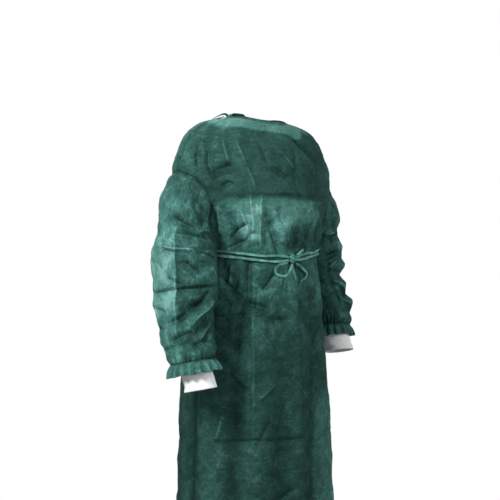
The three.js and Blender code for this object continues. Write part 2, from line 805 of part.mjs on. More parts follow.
// A strip of the tie along a line of places, all of it facing as the cloth at its middle does
function stripSolid(surface, path) {
  const places = path.map(({ turn, drop, off }) => {
    const normal = bodyNormal(bodyBase, turn, drop);
    return surface(turn, drop).addScaledVector(normal, off);
  });
  const curve = new THREE.CatmullRomCurve3(places, false, 'centripetal');
  const points = curve.getSpacedPoints(path.length * 2);
  const middle = path[Math.floor(path.length / 2)];
  const facing = bodyNormal(bodyBase, middle.turn, middle.drop);
  return sweep(points, points.map(() => facing), strip.width, strip.thickness, strip.sides);
}

// A soft knot: a rounded lump, a little squarer than a ball
const knotGrid = { columns: 12, rows: 7, squareness: 0.8 };

function knotMesh(name, surface, size) {
  const geometry = new THREE.SphereGeometry(1, knotGrid.columns, knotGrid.rows);
  geometry.rotateX(Math.PI / 2);
  const normal = bodyNormal(bodyBase, size.turn, size.drop);
  const across = new THREE.Vector3(0, 0, 1).cross(normal).normalize();
  const up = normal.clone().cross(across).normalize();
  const place = surface(size.turn, size.drop).addScaledVector(normal, size.off);
  const frame = new THREE.Matrix4().makeBasis(
    across.multiplyScalar(size.halfWidth),
    up.multiplyScalar(size.halfHeight),
    normal.clone().multiplyScalar(size.halfDepth),
  );
  frame.setPosition(place);
  const squarer = (value) => Math.sign(value) * Math.abs(value) ** knotGrid.squareness;
  const position = geometry.attributes.position;
  position.array.set(position.array.map(squarer));
  geometry.applyMatrix4(frame);
  return meshOf(name, geometry, tieGreen);
}

function bindingGrid() {
  const turns = steps(backMiddle - lap.half - fullTurn, backMiddle + lap.half, binding.columns);
  return [1, 0].map((share) => turns.map((turn) => {
    const normal = bodyNormal(bodyBase, turn, 0);
    const edge = bodyBase(turn, 0);
    const down = bodyBase(turn, 1).sub(edge).normalize();
    const rise = seamGap / 2 + share * binding.height;
    const out = lapAt(turn) + share * share * binding.roll;
    return { point: edge.addScaledVector(down, -rise).addScaledVector(normal, out), normal };
  }));
}

function meshOf(name, geometry, finish) {
  const mesh = new THREE.Mesh(geometry, new THREE.MeshStandardMaterial(finish));
  mesh.name = name;
  return mesh;
}

function panel(name, surface, columns, first, final, armholes) {
  const grid = panelGrid(surface, columns, first, final, armholes);
  const edges = { first: armholes.first !== undefined, final: armholes.final !== undefined, top: true };
  return meshOf(name, wallOf(openSeams(grid, edges), false), clothGreen);
}

const gown = new THREE.Group();
gown.add(
  panel('front_panel', plainBody, 28, leftSide, rightSide, { first: 1, final: -1, front: true }),
  panel('back_panel_right', lappedBody, 16, rightSide, backMiddle + lap.half, { first: -1, front: false }),
  panel('back_panel_left', plainBody, 16, backMiddle - lap.half, fullTurn, { final: 1, front: false }),
);
for (const side of ['right', 'left']) {
  const sleeveWall = wallOf(openSeams(sleeveGrid(side), { top: true, bottom: true }, true), true);
  gown.add(meshOf(`sleeve_${side}`, sleeveWall, clothGreen));
  const frillWall = wallOf(openSeams(frillGrid(side), { top: true }, true), true);
  gown.add(meshOf(`sleeve_end_${side}`, frillWall, clothGreen));
  gown.add(meshOf(`knit_cuff_${side}`, wallOf(cuffGrid(side), true, knitWall), knitWhite));
}
gown.add(
  meshOf('neck_binding', wallOf(bindingGrid(), false, binding.thickness), clothGreen),
  meshOf('waist_tie_upper', strandSolid('upperDrop'), tieGreen),
  meshOf('waist_tie_lower', strandSolid('lowerDrop'), tieGreen),
  knotMesh('waist_knot', plainBody, knot),
  knotMesh('neck_tie_knot', lappedBody, napeKnot),
);
for (const [name, path] of Object.entries(bowStrips)) {
  gown.add(meshOf(name, stripSolid(plainBody, path), tieGreen));
}
for (const [name, path] of Object.entries(napeStrips)) {
  gown.add(meshOf(name, stripSolid(lappedBody, path), tieGreen));
}

export default gown;
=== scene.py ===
# %% [markdown]
# A surgical gown of thin green spunbond cloth, worn, with a tie wound twice round the waist.
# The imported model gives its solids. This lesson dresses each of them with a thin cloth shell on the
# same form, with the creases that such cloth keeps from its package and gets from the tie.

# %% Load the frame
import json
import math

import bpy
import numpy as np
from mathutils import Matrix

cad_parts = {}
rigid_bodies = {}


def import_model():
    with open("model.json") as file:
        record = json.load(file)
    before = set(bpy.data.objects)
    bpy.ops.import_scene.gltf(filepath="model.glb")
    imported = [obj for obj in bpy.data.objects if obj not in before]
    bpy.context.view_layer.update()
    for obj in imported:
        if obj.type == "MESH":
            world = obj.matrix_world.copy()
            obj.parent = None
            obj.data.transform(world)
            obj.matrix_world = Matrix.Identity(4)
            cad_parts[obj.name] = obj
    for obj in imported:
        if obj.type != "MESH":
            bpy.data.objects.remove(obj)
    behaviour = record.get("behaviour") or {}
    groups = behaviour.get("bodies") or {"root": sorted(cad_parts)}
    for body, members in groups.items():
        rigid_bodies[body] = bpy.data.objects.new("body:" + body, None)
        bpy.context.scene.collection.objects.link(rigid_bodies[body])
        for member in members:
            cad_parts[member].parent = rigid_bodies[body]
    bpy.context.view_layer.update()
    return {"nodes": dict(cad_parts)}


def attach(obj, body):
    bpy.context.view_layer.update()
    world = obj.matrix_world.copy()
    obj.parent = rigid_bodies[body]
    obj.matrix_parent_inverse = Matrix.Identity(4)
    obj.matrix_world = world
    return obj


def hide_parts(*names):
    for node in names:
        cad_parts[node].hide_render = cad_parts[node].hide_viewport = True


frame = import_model()

# %% [markdown]
# The picture looks at the gown from its right front, level with the waist tie. A short lens close by
# would swell the near sleeve, so a long lens stands 3 m away and both sleeves keep their proportions.
# Place and lens come from fitting the outline, in pixels of the picture.

# %% Camera
PICTURE_PIXELS = 500
FOCAL_PIXELS = 1364
SHIFT_PIXELS = -3
SENSOR_MM = 36
AZIMUTH = -46
CAMERA_DISTANCE = 3.0
CAMERA_HEIGHT = -0.30
camera_data = bpy.data.cameras.new("camera")
camera_data.sensor_width = SENSOR_MM
camera_data.lens = SENSOR_MM * FOCAL_PIXELS / PICTURE_PIXELS
camera_data.shift_x = SHIFT_PIXELS / PICTURE_PIXELS
camera = bpy.data.objects.new("camera", camera_data)
turned = math.radians(AZIMUTH)
camera.location = (
    CAMERA_DISTANCE * math.sin(turned),
    -CAMERA_DISTANCE * math.cos(turned),
    CAMERA_HEIGHT,
)
camera.rotation_euler = (math.pi / 2, 0, turned)
bpy.context.scene.collection.objects.link(camera)
bpy.context.scene.camera = camera
print("camera at", [round(value, 3) for value in camera.location])

# %% [markdown]
# Studio light: a large soft key on the side of the near sleeve, a weak fill on the other side and a
# light behind. Lamps alone would leave a dark page, so there is a pale surround as well. It looks
# white to the camera and lights the cloth less than that, so that folds in dark cloth still read.

# %% Light and surround
# Columns: name, place and diameter in metres, watts
LIGHTS = [
    ["key_light", (-3.2, -0.35, 1.7), 1.3, 150],
    ["fill_light", (0.9, -3.5, 0.9), 1.6, 52],
    ["back_light", (1.6, 2.8, 1.2), 1.8, 45],
]
LIGHT_AIM = (0, 0, -0.35)
SURROUND = {"seen": 1.0, "lighting": 0.33}
bpy.context.scene.view_settings.view_transform = "Standard"


def soft_light(name, place, size, watts):
    """A round area light at a place, turned to face the gown's middle."""
    data = bpy.data.lights.new(name, "AREA")
    data.shape = "DISK"
    data.size = size
    data.energy = watts
    light = bpy.data.objects.new(name, data)
    light.location = place
    aim = np.array(LIGHT_AIM) - np.array(place)
    level = math.hypot(aim[0], aim[1])
    light.rotation_euler = (math.pi / 2 + math.atan2(aim[2], level), 0, math.atan2(-aim[0], aim[1]))
    bpy.context.scene.collection.objects.link(light)


def pale_surround(strengths):
    """A white world, with one strength for rays from the camera and another for all others."""
    world = bpy.data.worlds.new("surround")
    bpy.context.scene.world = world
    world.use_nodes = True
    nodes = world.node_tree.nodes
    links = world.node_tree.links
    nodes.clear()
    backs = {}
    for part, strength in strengths.items():
        backs[part] = nodes.new("ShaderNodeBackground")
        backs[part].inputs["Color"].default_value = (1, 1, 1, 1)
        backs[part].inputs["Strength"].default_value = strength
    ray = nodes.new("ShaderNodeLightPath")
    choose = nodes.new("ShaderNodeMixShader")
    shown = nodes.new("ShaderNodeOutputWorld")
    links.new(ray.outputs["Is Camera Ray"], choose.inputs[0])
    links.new(backs["lighting"].outputs[0], choose.inputs[1])
    links.new(backs["seen"].outputs[0], choose.inputs[2])
    links.new(choose.outputs[0], shown.inputs["Surface"])


for row in LIGHTS:
    soft_light(*row)
pale_surround(SURROUND)
print("lights:", [light.name for light in bpy.data.lights])

# %% [markdown]
# A few helpers carry the whole form. `smooth` is an S-shaped step, for fades, and `bell` a soft bump.
# `curve` draws a smooth line through a table. A spline would be shorter to write, but it overshoots:
# this one never leaves its rows' range, so a sleeve can't bulge between two rings.

# %% Steps and curves
DEGREE = math.pi / 180
MM = 0.001


def smooth(start, end, at):
    """0 before start, 1 after end, and 3 s^2 - 2 s^3 between them."""
    share = np.clip((np.asarray(at, float) - start) / (end - start), 0, 1)
    return share * share * (3 - 2 * share)


def bell(at, middle, half):
    """1 at the middle, falling with the square of the distance over the half width."""
    return np.exp(-(((np.asarray(at, float) - middle) / half) ** 2))


def curve(table, at):
    """Cubic through the table's rows, read by its first column: each slope is the weighted
    harmonic mean of the two beside it, or none where they differ in sign."""
    places = table[:, 0]
    values = table[:, 1:]
    gaps = np.diff(places)
    rises = np.diff(values, axis=0) / gaps[:, None]
    before, after = rises[:-1], rises[1:]
    weight_before = (2 * gaps[1:] + gaps[:-1])[:, None]
    weight_after = (gaps[1:] + 2 * gaps[:-1])[:, None]
    turning = before * after <= 0
    mean = (weight_before + weight_after) / (
        weight_before / np.where(turning, 1, before) + weight_after / np.where(turning, 1, after)
    )
    slopes = np.concatenate([rises[:1], np.where(turning, 0, mean), rises[-1:]])
    at = np.asarray(at, float)
    row = np.clip(np.searchsorted(places, at, side="right") - 1, 0, len(gaps) - 1)
    gap = gaps[row][..., None]
    share = np.clip((at - places[row])[..., None] / gap, 0, 1)
    rest = 1 - share
    return (
        (1 + 2 * share) * rest**2 * values[row]
        + share * rest**2 * gap * slopes[row]
        + share**2 * (3 - 2 * share) * values[row + 1]
        - share**2 * rest * gap * slopes[row + 1]
    )


def squarer(value, power):
    """A sine or cosine pushed towards its ends, for flattened sections: sign(v) |v|^power."""
    return np.sign(value) * np.abs(value) ** power


def grid(rows, columns):
    """The row's value and the column's value at each point of a grid."""
    return np.meshgrid(rows, columns, indexing="ij")


def round_steps(count, more=0):
    """Even steps round a ring, in degrees. With one more, the last step closes the ring."""
    return np.arange(count + more) * 360 / count


def unit(vectors):
    """Vectors over their own length."""
    return vectors / np.linalg.norm(vectors, axis=-1, keepdims=True)


def gone_along(line):
    """The distance along a line of points, from its start."""
    return np.concatenate([[0], np.cumsum(np.linalg.norm(np.diff(line, axis=0), axis=-1))])


print("half way up a smooth step:", float(smooth(0, 1, 0.5)))

# %% [markdown]
# The gown's body is a loose tube with shoulders. It could be drawn by hand, but rings from a table
# keep it in step with the solids: an oval trunk whose sides reach out to the shoulders with the cube
# of the cosine, dipped at the front and back of the neck.

# %% Body form
# Columns: drop, sideZ, frontZ, backZ, half width, chest width, front depth, back depth, in mm
BODY_RINGS = np.array([
    [0, -14, -30, -6, 66, 66, 82, 50],
    [17, -22, -40, -15, 118, 104, 93, 72],
    [35, -37, -54, -31, 160, 125, 102, 92],
    [50, -50, -66, -44, 182, 134, 107, 102],
    [64, -64, -79, -58, 196, 138, 111, 106],
    [92, -92, -103, -88, 211, 141, 117, 112],
    [130, -130, -136, -129, 226, 143, 123, 116],
    [165, -165, -168, -165, 226, 147, 128, 118],
    [200, -200, -200, -200, 213, 151, 130, 118],
    [232, -232, -232, -232, 188, 155, 130, 117],
    [250, -250, -250, -250, 174, 157, 130, 116],
    [258, -258, -258, -258, 170, 158, 129, 115],
    [272, -272, -272, -272, 165, 159, 128, 114],
    [292, -292, -292, -292, 161, 160, 127, 113],
    [312, -312, -312, -312, 158, 158, 125, 111],
    [345, -345, -345, -345, 163, 163, 129, 114],
    [400, -400, -400, -400, 170, 170, 135, 120],
    [480, -480, -480, -480, 178, 178, 141, 126],
    [600, -600, -600, -600, 182, 182, 145, 130],
    [800, -800, -800, -800, 188, 188, 150, 136],
    [1150, -1150, -1150, -1150, 202, 202, 160, 150],
], float)
HEM_DROP = 1150
WAIST_DROP = 312
ARMHOLE = {"middle": 193, "half_drop": 57, "half_turn": 25}


def body_base(turn, drop):
    """x = chest width cos t + shoulder reach cos^3 t, y = -depth sin t, and z falls from the side's
    height to the middle's with |sin t| to the power 1.6; t is 0 on the gown's left, 90 in front."""
    turn, drop = np.broadcast_arrays(np.asarray(turn, float), np.asarray(drop, float))
    side_z, front_z, back_z, half, chest, front, back = np.moveaxis(curve(BODY_RINGS, drop), -1, 0)
    cosine = np.cos(turn * DEGREE)
    sine = np.sin(turn * DEGREE)
    depth = np.where(sine > 0, front, back)
    middle_z = np.where(sine > 0, front_z, back_z)
    return np.stack([
        chest * cosine + (half - chest) * cosine**3,
        -depth * sine,
        side_z + (middle_z - side_z) * np.abs(sine) ** 1.6,
    ], axis=-1)


def square_to(surface, a, b, step=0.5):
    """Unit vector square to a surface: the cross product of two short steps across it."""
    across_a = surface(a + step, b) - surface(a - step, b)
    across_b = surface(a, b + step) - surface(a, b - step)
    return unit(np.cross(across_a, across_b))


def body_normal(turn, drop):
    """The base form's outward normal, read a little below the neck's edge at the top."""
    return square_to(body_base, turn, np.maximum(drop, 0.6))


print("chest girth, mm:", round(float(np.linalg.norm(
    np.diff(body_base(np.arange(361), 165), axis=0), axis=-1).sum())))

# %% [markdown]
# Folds: the largest ones are shared with the solids. A cloth simulation could find folds, but not the
# ones that this gown has, so each is listed one by one. It runs between two places and is a soft trough
# or ridge that fades at its ends. A slow wander bends it, since cloth never folds straight.

# %% Largest folds of the body
# Columns: turn and drop of one end, turn and drop of the other, half width and height in mm
BODY_FOLDS = [
    [141, 44, 131, 104, 14, 5],
    [131, 104, 128, 190, 15, 4],
    [172, 30, 143, 82, 13, -5],
    [101, 38, 58, 122, 15, 6],
    [84, 28, 50, 130, 14, -6],
    [173, 60, 156, 148, 13, -6],
    [166, 62, 155, 136, 13, 4],
    [160, 62, 152, 136, 13, -6],
    [152, 132, 150, 190, 14, -7],
    [140, 150, 141, 190, 13, 4],
    [138, 204, 133, 288, 15, 5],
    [132, 240, 150, 284, 14, -6],
    [119, 214, 119, 300, 13, -6],
    [126, 210, 124, 290, 14, 4],
    [116, 236, 104, 312, 13, -6],
    [108, 240, 98, 296, 14, 4],
    [92, 246, 94, 312, 13, -5],
    [78, 226, 84, 308, 14, -5],
    [66, 216, 73, 300, 14, 4],
    [56, 232, 62, 312, 14, -6],
    [42, 244, 46, 300, 14, 4],
    [30, 250, 34, 314, 13, -6],
    [14, 264, 16, 316, 13, -5],
    [162, 264, 162, 316, 13, -5],
    [132, 316, 132, 400, 15, -6],
    [132, 400, 142, 520, 17, -7],
    [142, 520, 144, 1300, 22, -8],
    [122, 340, 130, 470, 17, 4],
    [130, 470, 132, 1300, 24, 6],
    [157, 340, 134, 412, 15, -6],
    [134, 412, 114, 430, 14, -5],
    [131, 438, 98, 454, 14, -4],
    [111, 336, 121, 392, 13, -5],
    [96, 340, 93, 470, 16, 4],
    [84, 318, 76, 420, 15, -5],
    [76, 420, 80, 1300, 22, -8],
    [64, 340, 62, 440, 15, 4],
    [48, 318, 44, 460, 15, -5],
    [26, 318, 22, 480, 15, -5],
    [34, 520, 34, 1300, 24, 7],
    [8, 420, 6, 1300, 22, -7],
    [107, 560, 105, 1300, 26, -5],
    [162, 480, 165, 1300, 24, 7],
    [180, 330, 180, 1300, 20, -6],
    [203, 70, 214, 170, 15, -6],
    [337, 70, 326, 170, 15, -6],
    [226, 120, 231, 250, 16, 5],
    [314, 130, 309, 250, 16, 5],
    [196, 250, 200, 316, 14, -6],
    [216, 226, 213, 316, 14, -6],
    [234, 214, 236, 316, 15, -5],
    [252, 240, 250, 316, 14, -6],
    [292, 236, 290, 316, 14, -6],
    [308, 222, 306, 316, 14, -5],
    [326, 232, 328, 316, 14, -6],
    [345, 246, 344, 316, 14, -6],
    [199, 316, 203, 560, 16, -6],
    [203, 560, 204, 1300, 22, -7],
    [220, 316, 223, 480, 16, -5],
    [236, 400, 238, 1300, 24, 7],
    [250, 316, 252, 1300, 20, -6],
    [298, 316, 296, 1300, 22, -7],
    [318, 330, 316, 1300, 24, 6],
    [334, 316, 331, 1300, 20, -7],
]
BODY_MM_PER_DEGREE = 2.75


def turn_difference(turn):
    """The shortest way round, in degrees."""
    return (np.asarray(turn, float) + 180) % 360 - 180


def beside_line(row, a, b, mm_per_degree):
    """How far along a row's line each point lies, as a share of it, how far aside in mm, with a sign
    for the side, and the line's length in mm."""
    a1, b1, a2, b2 = row[:4]
    shift_a = turn_difference(a - a1) * mm_per_degree
    shift_b = b - b1
    run_a = (a2 - a1) * mm_per_degree
    run_b = b2 - b1
    length = math.hypot(run_a, run_b)
    share = (shift_a * run_a + shift_b * run_b) / length**2
    aside = (shift_a * run_b - shift_b * run_a) / length
    return share, aside, length


def fold_heights(folds, a, b, mm_per_degree, sharp=False):
    """Sum of ridges and sum of troughs. Each fold's height falls off from its line as a bell, or, if
    sharp, with e to the minus distance, and fades over the last fifth at either end."""
    ridges = np.zeros(np.broadcast(a, b).shape)
    troughs = np.zeros_like(ridges)
    for row in folds:
        width, height = row[4:]
        share, aside, _ = beside_line(row, a, b, mm_per_degree)
        aside = np.abs(aside) / width
        fade = smooth(-0.12, 0.22, share) * (1 - smooth(0.78, 1.12, share))
        across = np.exp(-aside) if sharp else np.exp(-(aside**2))
        target = ridges if height > 0 else troughs
        target += height * fade * across
    return ridges, troughs


print("largest folds on the body:", len(BODY_FOLDS))

# %% [markdown]
# Sharper creases: spunbond keeps the straight lines of its package folds, and it breaks into short
# creases where it is bent. Random ones would look like bark, so both kinds are listed one by one in a
# table, uneven in length and spacing.

# %% Creases of the body
# Columns as above; the first rows are package folds, the others short breaks in the cloth
BODY_CREASES = [
    [131, 185, 26, 186, 4.0, -1.5],
    [238, 187, 302, 184, 4.0, -1.4],
    [129.5, 176, 129.5, 290, 3.6, 1.5],
    [132, 437, 98, 452, 3.8, -1.6],
    [96, 452, 30, 446, 4.0, -1.4],
    [170, 446, 136, 440, 4.0, -1.3],
    [88, 60, 87, 300, 3.6, -1.0],
    [51, 330, 52, 760, 3.8, 1.2],
    [129, 330, 130, 700, 3.8, 1.0],
    [88, 335, 88, 900, 3.8, -1.1],
    [168, 700, 20, 702, 4.0, -1.5],
    [160, 960, 24, 958, 4.0, -1.4],
    [224, 340, 225, 1000, 3.8, 1.2],
    [316, 340, 314, 1000, 3.8, 1.2],
    [350, 446, 190, 444, 4.0, -1.3],
    [350, 700, 190, 703, 4.0, -1.4],
    [350, 958, 190, 961, 4.0, -1.4],
    [121, 186, 124, 232, 4.0, 1.6],
    [139, 60, 131, 118, 4.0, 1.4],
    [131, 118, 127, 176, 4.0, 1.4],
    [127, 262, 140, 300, 4.4, -2.0],
    [136, 284, 152, 300, 4.4, -2.2],
    [112, 262, 108, 300, 4.0, -1.8],
    [132, 243, 149, 279, 4.4, -2.4],
    [116.5, 238, 105, 309, 4.4, -2.4],
    [119.5, 220, 119.5, 292, 3.8, -2.2],
    [124, 232, 123, 298, 3.8, 1.7],
    [137, 214, 133, 268, 4.5, 1.8],
    [146, 226, 141, 292, 4.4, -2.0],
    [152, 214, 158, 262, 4.6, 1.8],
    [110, 212, 103, 250, 4.4, -1.8],
    [98, 250, 101, 304, 4.0, 1.5],
    [86, 232, 90, 300, 4.4, -2.2],
    [71, 240, 78, 306, 4.4, -2.0],
    [60, 206, 66, 262, 4.6, 1.8],
    [49, 236, 53, 300, 4.4, -2.2],
    [36, 214, 38, 284, 4.6, 1.8],
    [145, 168, 140, 156, 4.6, -2.8],
    [157, 92, 151, 142, 4.2, -2.4],
    [166, 76, 160, 128, 4.4, -2.2],
    [148, 60, 141, 118, 4.6, 1.9],
    [139, 120, 149, 134, 4.8, -1.8],
    [122, 60, 116, 112, 5.0, -1.4],
    [104, 74, 92, 118, 5.0, 1.6],
    [84, 34, 62, 96, 4.6, -2.2],
    [74, 66, 56, 110, 4.6, 1.8],
    [113, 120, 96, 146, 5.0, -1.6],
    [80, 134, 62, 150, 5.0, -1.6],
    [132, 330, 132.5, 396, 4.2, -2.6],
    [132.5, 396, 139, 446, 4.2, -2.6],
    [139, 446, 142, 522, 4.6, -2.4],
    [156.5, 357, 134, 411, 4.4, -2.6],
    [134, 411, 116, 427, 4.4, -2.4],
    [111, 350, 121, 386, 4.4, -2.4],
    [104, 338, 107, 376, 4.2, 1.7],
    [147, 330, 150, 372, 4.4, 1.8],
    [140, 336, 144, 380, 4.4, -2.0],
    [120, 470, 108, 520, 5.0, -1.8],
    [148, 560, 133, 600, 5.2, -1.8],
    [126, 610, 112, 580, 5.2, 1.6],
    [100, 560, 86, 610, 5.2, -1.6],
    [152, 640, 158, 700, 5.2, 1.6],
    [94, 390, 84, 430, 4.8, -2.0],
    [72, 350, 66, 400, 4.6, -2.0],
    [62, 470, 74, 500, 5.0, -1.8],
    [118, 660, 128, 720, 5.4, -1.6],
    [98, 800, 116, 850, 5.6, -1.6],
    [140, 880, 124, 930, 5.6, -1.6],
    [60, 820, 44, 870, 5.6, -1.6],
    [206, 110, 216, 150, 4.8, -2.2],
    [222, 200, 212, 250, 4.6, -2.0],
    [232, 90, 226, 150, 4.8, 1.8],
    [246, 150, 238, 210, 4.8, -2.0],
    [244, 244, 250, 300, 4.4, -2.2],
    [208, 240, 204, 300, 4.4, -2.2],
    [332, 110, 322, 152, 4.8, -2.2],
    [318, 190, 328, 246, 4.6, -2.0],
    [300, 90, 308, 150, 4.8, 1.8],
    [296, 150, 302, 220, 4.8, -2.0],
    [298, 246, 294, 300, 4.4, -2.2],
    [338, 244, 336, 300, 4.4, -2.2],
    [210, 334, 214, 400, 4.4, -2.4],
    [232, 332, 229, 392, 4.4, 1.8],
    [246, 330, 243, 410, 4.4, -2.2],
    [288, 330, 292, 400, 4.4, -2.2],
    [308, 332, 306, 392, 4.4, 1.8],
    [342, 330, 338, 402, 4.4, -2.4],
    [216, 520, 230, 570, 5.2, -1.8],
    [302, 540, 316, 590, 5.2, -1.8],
    [212, 780, 226, 830, 5.4, -1.6],
    [330, 800, 312, 850, 5.4, -1.6],
]
print("creases on the body:", len(BODY_CREASES))

# %% [markdown]
# A crease is sharper than the mesh is fine, and a mesh fine enough would be too heavy. So the mesh
# also carries, for each point, how far off the nearest crease line is and on which side, which is even
# enough to be read between points. The finish turns that distance into a crisp edge. Lines that come
# close to each other go into different layers.

# %% Crease lines
# Reach, flank and edge in mm; the last two are for the mesh, which takes creases wider and deeper
CREASE = {"layers": 5, "reach": 12.0, "flank": 9.0, "edge": 2.6, "widen": 1.3, "deepen": 1.5}
LINE_PLACES = 24
FAR = 1e6


def crease_layers(rows, mm_per_degree):
    """Sorts crease rows so that no two lines of a layer come within twice the reach, if possible."""
    layers = [[] for _ in range(CREASE["layers"])]
    known = [[] for _ in range(CREASE["layers"])]
    for row in rows:
        places = np.linspace(row[:2], row[2:4], LINE_PLACES) * [mm_per_degree, 1]
        gaps = [
            min((np.linalg.norm(places[:, None] - other, axis=-1).min() for other in others), default=FAR)
            for others in known
        ]
        free = [index for index, gap in enumerate(gaps) if gap > 2 * CREASE["reach"]]
        index = free[0] if free else int(np.argmax(gaps))
        layers[index].append(row)
        known[index].append(places)
    return layers


def crease_values(rows, a, b, mm_per_degree):
    """For each layer the signed distance in mm from its nearest line, and that line's height, which
    fades at both ends of the line and to nothing at the reach."""
    values = {}
    for index, layer in enumerate(crease_layers(rows, mm_per_degree)):
        off = np.full(np.broadcast(a, b).shape, 99.0)
        bite = np.zeros_like(off)
        nearest = np.full_like(off, FAR)
        for row in layer:
            share, aside, length = beside_line(row, a, b, mm_per_degree)
            gap = np.hypot(aside, np.maximum(0, np.abs(share - 0.5) - 0.5) * length)
            closer = gap < nearest
            fade = smooth(-0.06, 0.2, share) * (1 - smooth(0.8, 1.06, share))
            fade = fade * (1 - smooth(0.6 * CREASE["reach"], CREASE["reach"], np.abs(aside)))
            off = np.where(closer, aside, off)
            bite = np.where(closer, row[5] * fade, bite)
            nearest = np.minimum(nearest, gap)
        values[f"off_{index}"] = off
        values[f"bite_{index}"] = bite
    return values


body_layers = crease_layers(BODY_CREASES, BODY_MM_PER_DEGREE)
print("crease lines in each layer:", [len(layer) for layer in body_layers])

# %% [markdown]
# Crumple: between its creases the cloth is a field of small flat facets. A fractal bump would do at a
# distance, but here the relief is in the mesh, so that it shades and shadows. Triangle waves give the
# straight edges of real creases, and each is kept to patches so that no edge runs on for ever.

# %% Crumple
def waves(points, length, seed, count=10):
    """A smooth random height with a spread of 1: the sum of cosines, each with its own direction,
    phase and a wavelength near the length given, over the root of half their number."""
    random = np.random.default_rng(seed)
    ways = unit(random.normal(size=(count, 3)))
    numbers = 2 * np.pi / (length * random.uniform(0.7, 1.4, count))
    phases = random.uniform(0, 2 * np.pi, count)
    total = np.zeros(points.shape[:-1])
    for way, number, phase in zip(ways, numbers, phases):
        total += np.cos(points @ (way * number) + phase)
    return total / math.sqrt(count / 2)


def facets(points, length, seed, count=7):
    """Straight edges between flats: triangle waves in several directions, each times a patchy mask,
    over the root of a quarter of their number."""
    random = np.random.default_rng(seed)
    total = np.zeros(points.shape[:-1])
    bent = points + 0.06 * length * np.stack(
        [waves(points, 1.5 * length, seed + axis, 5) for axis in (1, 2, 3)], axis=-1)
    for index in range(count):
        way = random.normal(size=3)
        way /= np.linalg.norm(way) * length * random.uniform(0.75, 1.5)
        phase = bent @ way + random.uniform()
        wedge = 4 * np.abs(phase - np.floor(phase + 0.5)) - 1
        patch = smooth(-0.1, 0.9, waves(points, 1.7 * length, seed + 10 + index, 5))
        total += wedge * patch
    return total / math.sqrt(count / 4)


# Columns: size of the facets and height in mm
CRUMPLES = [[120, 1.7], [58, 1.2], [27, 0.55]]


def crumples(points, seed):
    """The sum of the facet fields of all sizes."""
    return sum(height * facets(points, length, seed + 10 * length)
               for length, height in CRUMPLES)


print("crumple sizes, mm:", [length for length, _ in CRUMPLES])

# %% [markdown]
# The body's cloth: the base form moved out along its normal by folds, creases, crumple and the small
# gathers that the tie pinches in. Near the tie ridges are pressed flat, so that it lies on the cloth.
# The same sum paints light and shade into the colour: each point is lighter on a ridge and darker
# in a trough or a gather, as light would make it.

# %% Body cloth
GATHER = {"pitch_degrees": 7.6, "depth": 2.4, "reach": 30, "least_reach": 12}
# Drops between which the tie presses ridges flat, with the fades above and below
PRESSED = {"start": 278, "full": 292, "full_end": 330, "end": 346}
NECK_FADE = {"start": 4, "end": 40}
# Painted light and shade for each mm of height, and the heights in mm beyond which it counts no more
PAINTED_LIGHT = {"folds": (0.018, -8, 5), "lines": (0.02, -4, 4), "relief": (0.014, -3, 3)}


def heavier(rows):
    """Crease rows as the mesh takes them: wider and deeper than their table says."""
    return [[*row[:4], row[4] * CREASE["widen"], row[5] * CREASE["deepen"]] for row in rows]


def painted_light(**heights):
    """Painted light on a ridge and painted shade in a trough: the sum of weight times height,
    with each height kept within its limits."""
    return sum(PAINTED_LIGHT[kind][0] * np.clip(height, *PAINTED_LIGHT[kind][1:]) for kind, height in heights.items())


def pressed_flat(drop):
    """1 where the tie presses the cloth, fading above and below it."""
    above = smooth(PRESSED["start"], PRESSED["full"], drop)
    return above * (1 - smooth(PRESSED["full_end"], PRESSED["end"], drop))


def below_neck(drop):
    """0 at the binding, 1 from a little below it."""
    return smooth(NECK_FADE["start"], NECK_FADE["end"], drop)


def body_slight(turn, drop, base):
    """Turn and drop with a slight wander, so that no crease is a ruled line."""
    return turn + 0.35 * waves(base, 60, 13, 8), drop + 1.2 * waves(base, 60, 14, 8)


def body_height(turn, drop, base):
    """Folds and creases with wandering lines, plus crumple and slow waves in the skirt, times a fade
    below the neck, less the gathers: troughs at even turns that fade away from the tie. Gives the
    height and the painted shading: painted light on ridges, painted shade in troughs and gathers."""
    wandered_turn = turn + 1.3 * waves(base, 95, 11, 8)
    wandered_drop = drop + 3.5 * waves(base, 120, 12, 8)
    ridges, troughs = fold_heights(BODY_FOLDS, wandered_turn, wandered_drop, BODY_MM_PER_DEGREE)
    slight_turn, slight_drop = body_slight(turn, drop, base)
    lines_up, lines_down = fold_heights(
        heavier(BODY_CREASES), slight_turn, slight_drop, BODY_MM_PER_DEGREE, sharp=True)
    skirt = smooth(330, 520, drop)
    relief = (1 - 0.25 * skirt) * crumples(base, 100)
    drape = 1.5 * skirt * waves(base * np.array([1, 1, 0.16]), 74, 31)
    raised = (ridges + lines_up + relief + drape) * (1 - 0.9 * pressed_flat(drop))
    wobble = 1.1 * waves(base, 80, 21, 8)
    reach = GATHER["reach"] * (1 + 0.35 * waves(base * np.array([1, 1, 0]), 40, 22, 8))
    pinch = np.exp(-np.abs(drop - WAIST_DROP) / np.maximum(reach, GATHER["least_reach"]))
    pleat = np.abs(np.sin((turn + wobble * 1.6) * np.pi / GATHER["pitch_degrees"]))
    gathers = GATHER["depth"] * pinch * (1 - pleat)
    # Painted light and shade of the relief, and painted shade in the gathers
    shade = painted_light(folds=ridges + troughs, lines=lines_up + lines_down, relief=relief) - 0.03 * gathers
    height = below_neck(drop) * (troughs + lines_down + raised) - gathers
    return height, below_neck(drop) * shade


def body_cloth(turn, drop, lift=0.0):
    """The base form moved out along its normal by the cloth's height and a lift."""
    turn, drop = np.broadcast_arrays(np.asarray(turn, float), np.asarray(drop, float))
    base = body_base(turn, drop)
    height = body_height(turn, drop, base)[0] + lift
    return base + body_normal(turn, drop) * height[..., None]


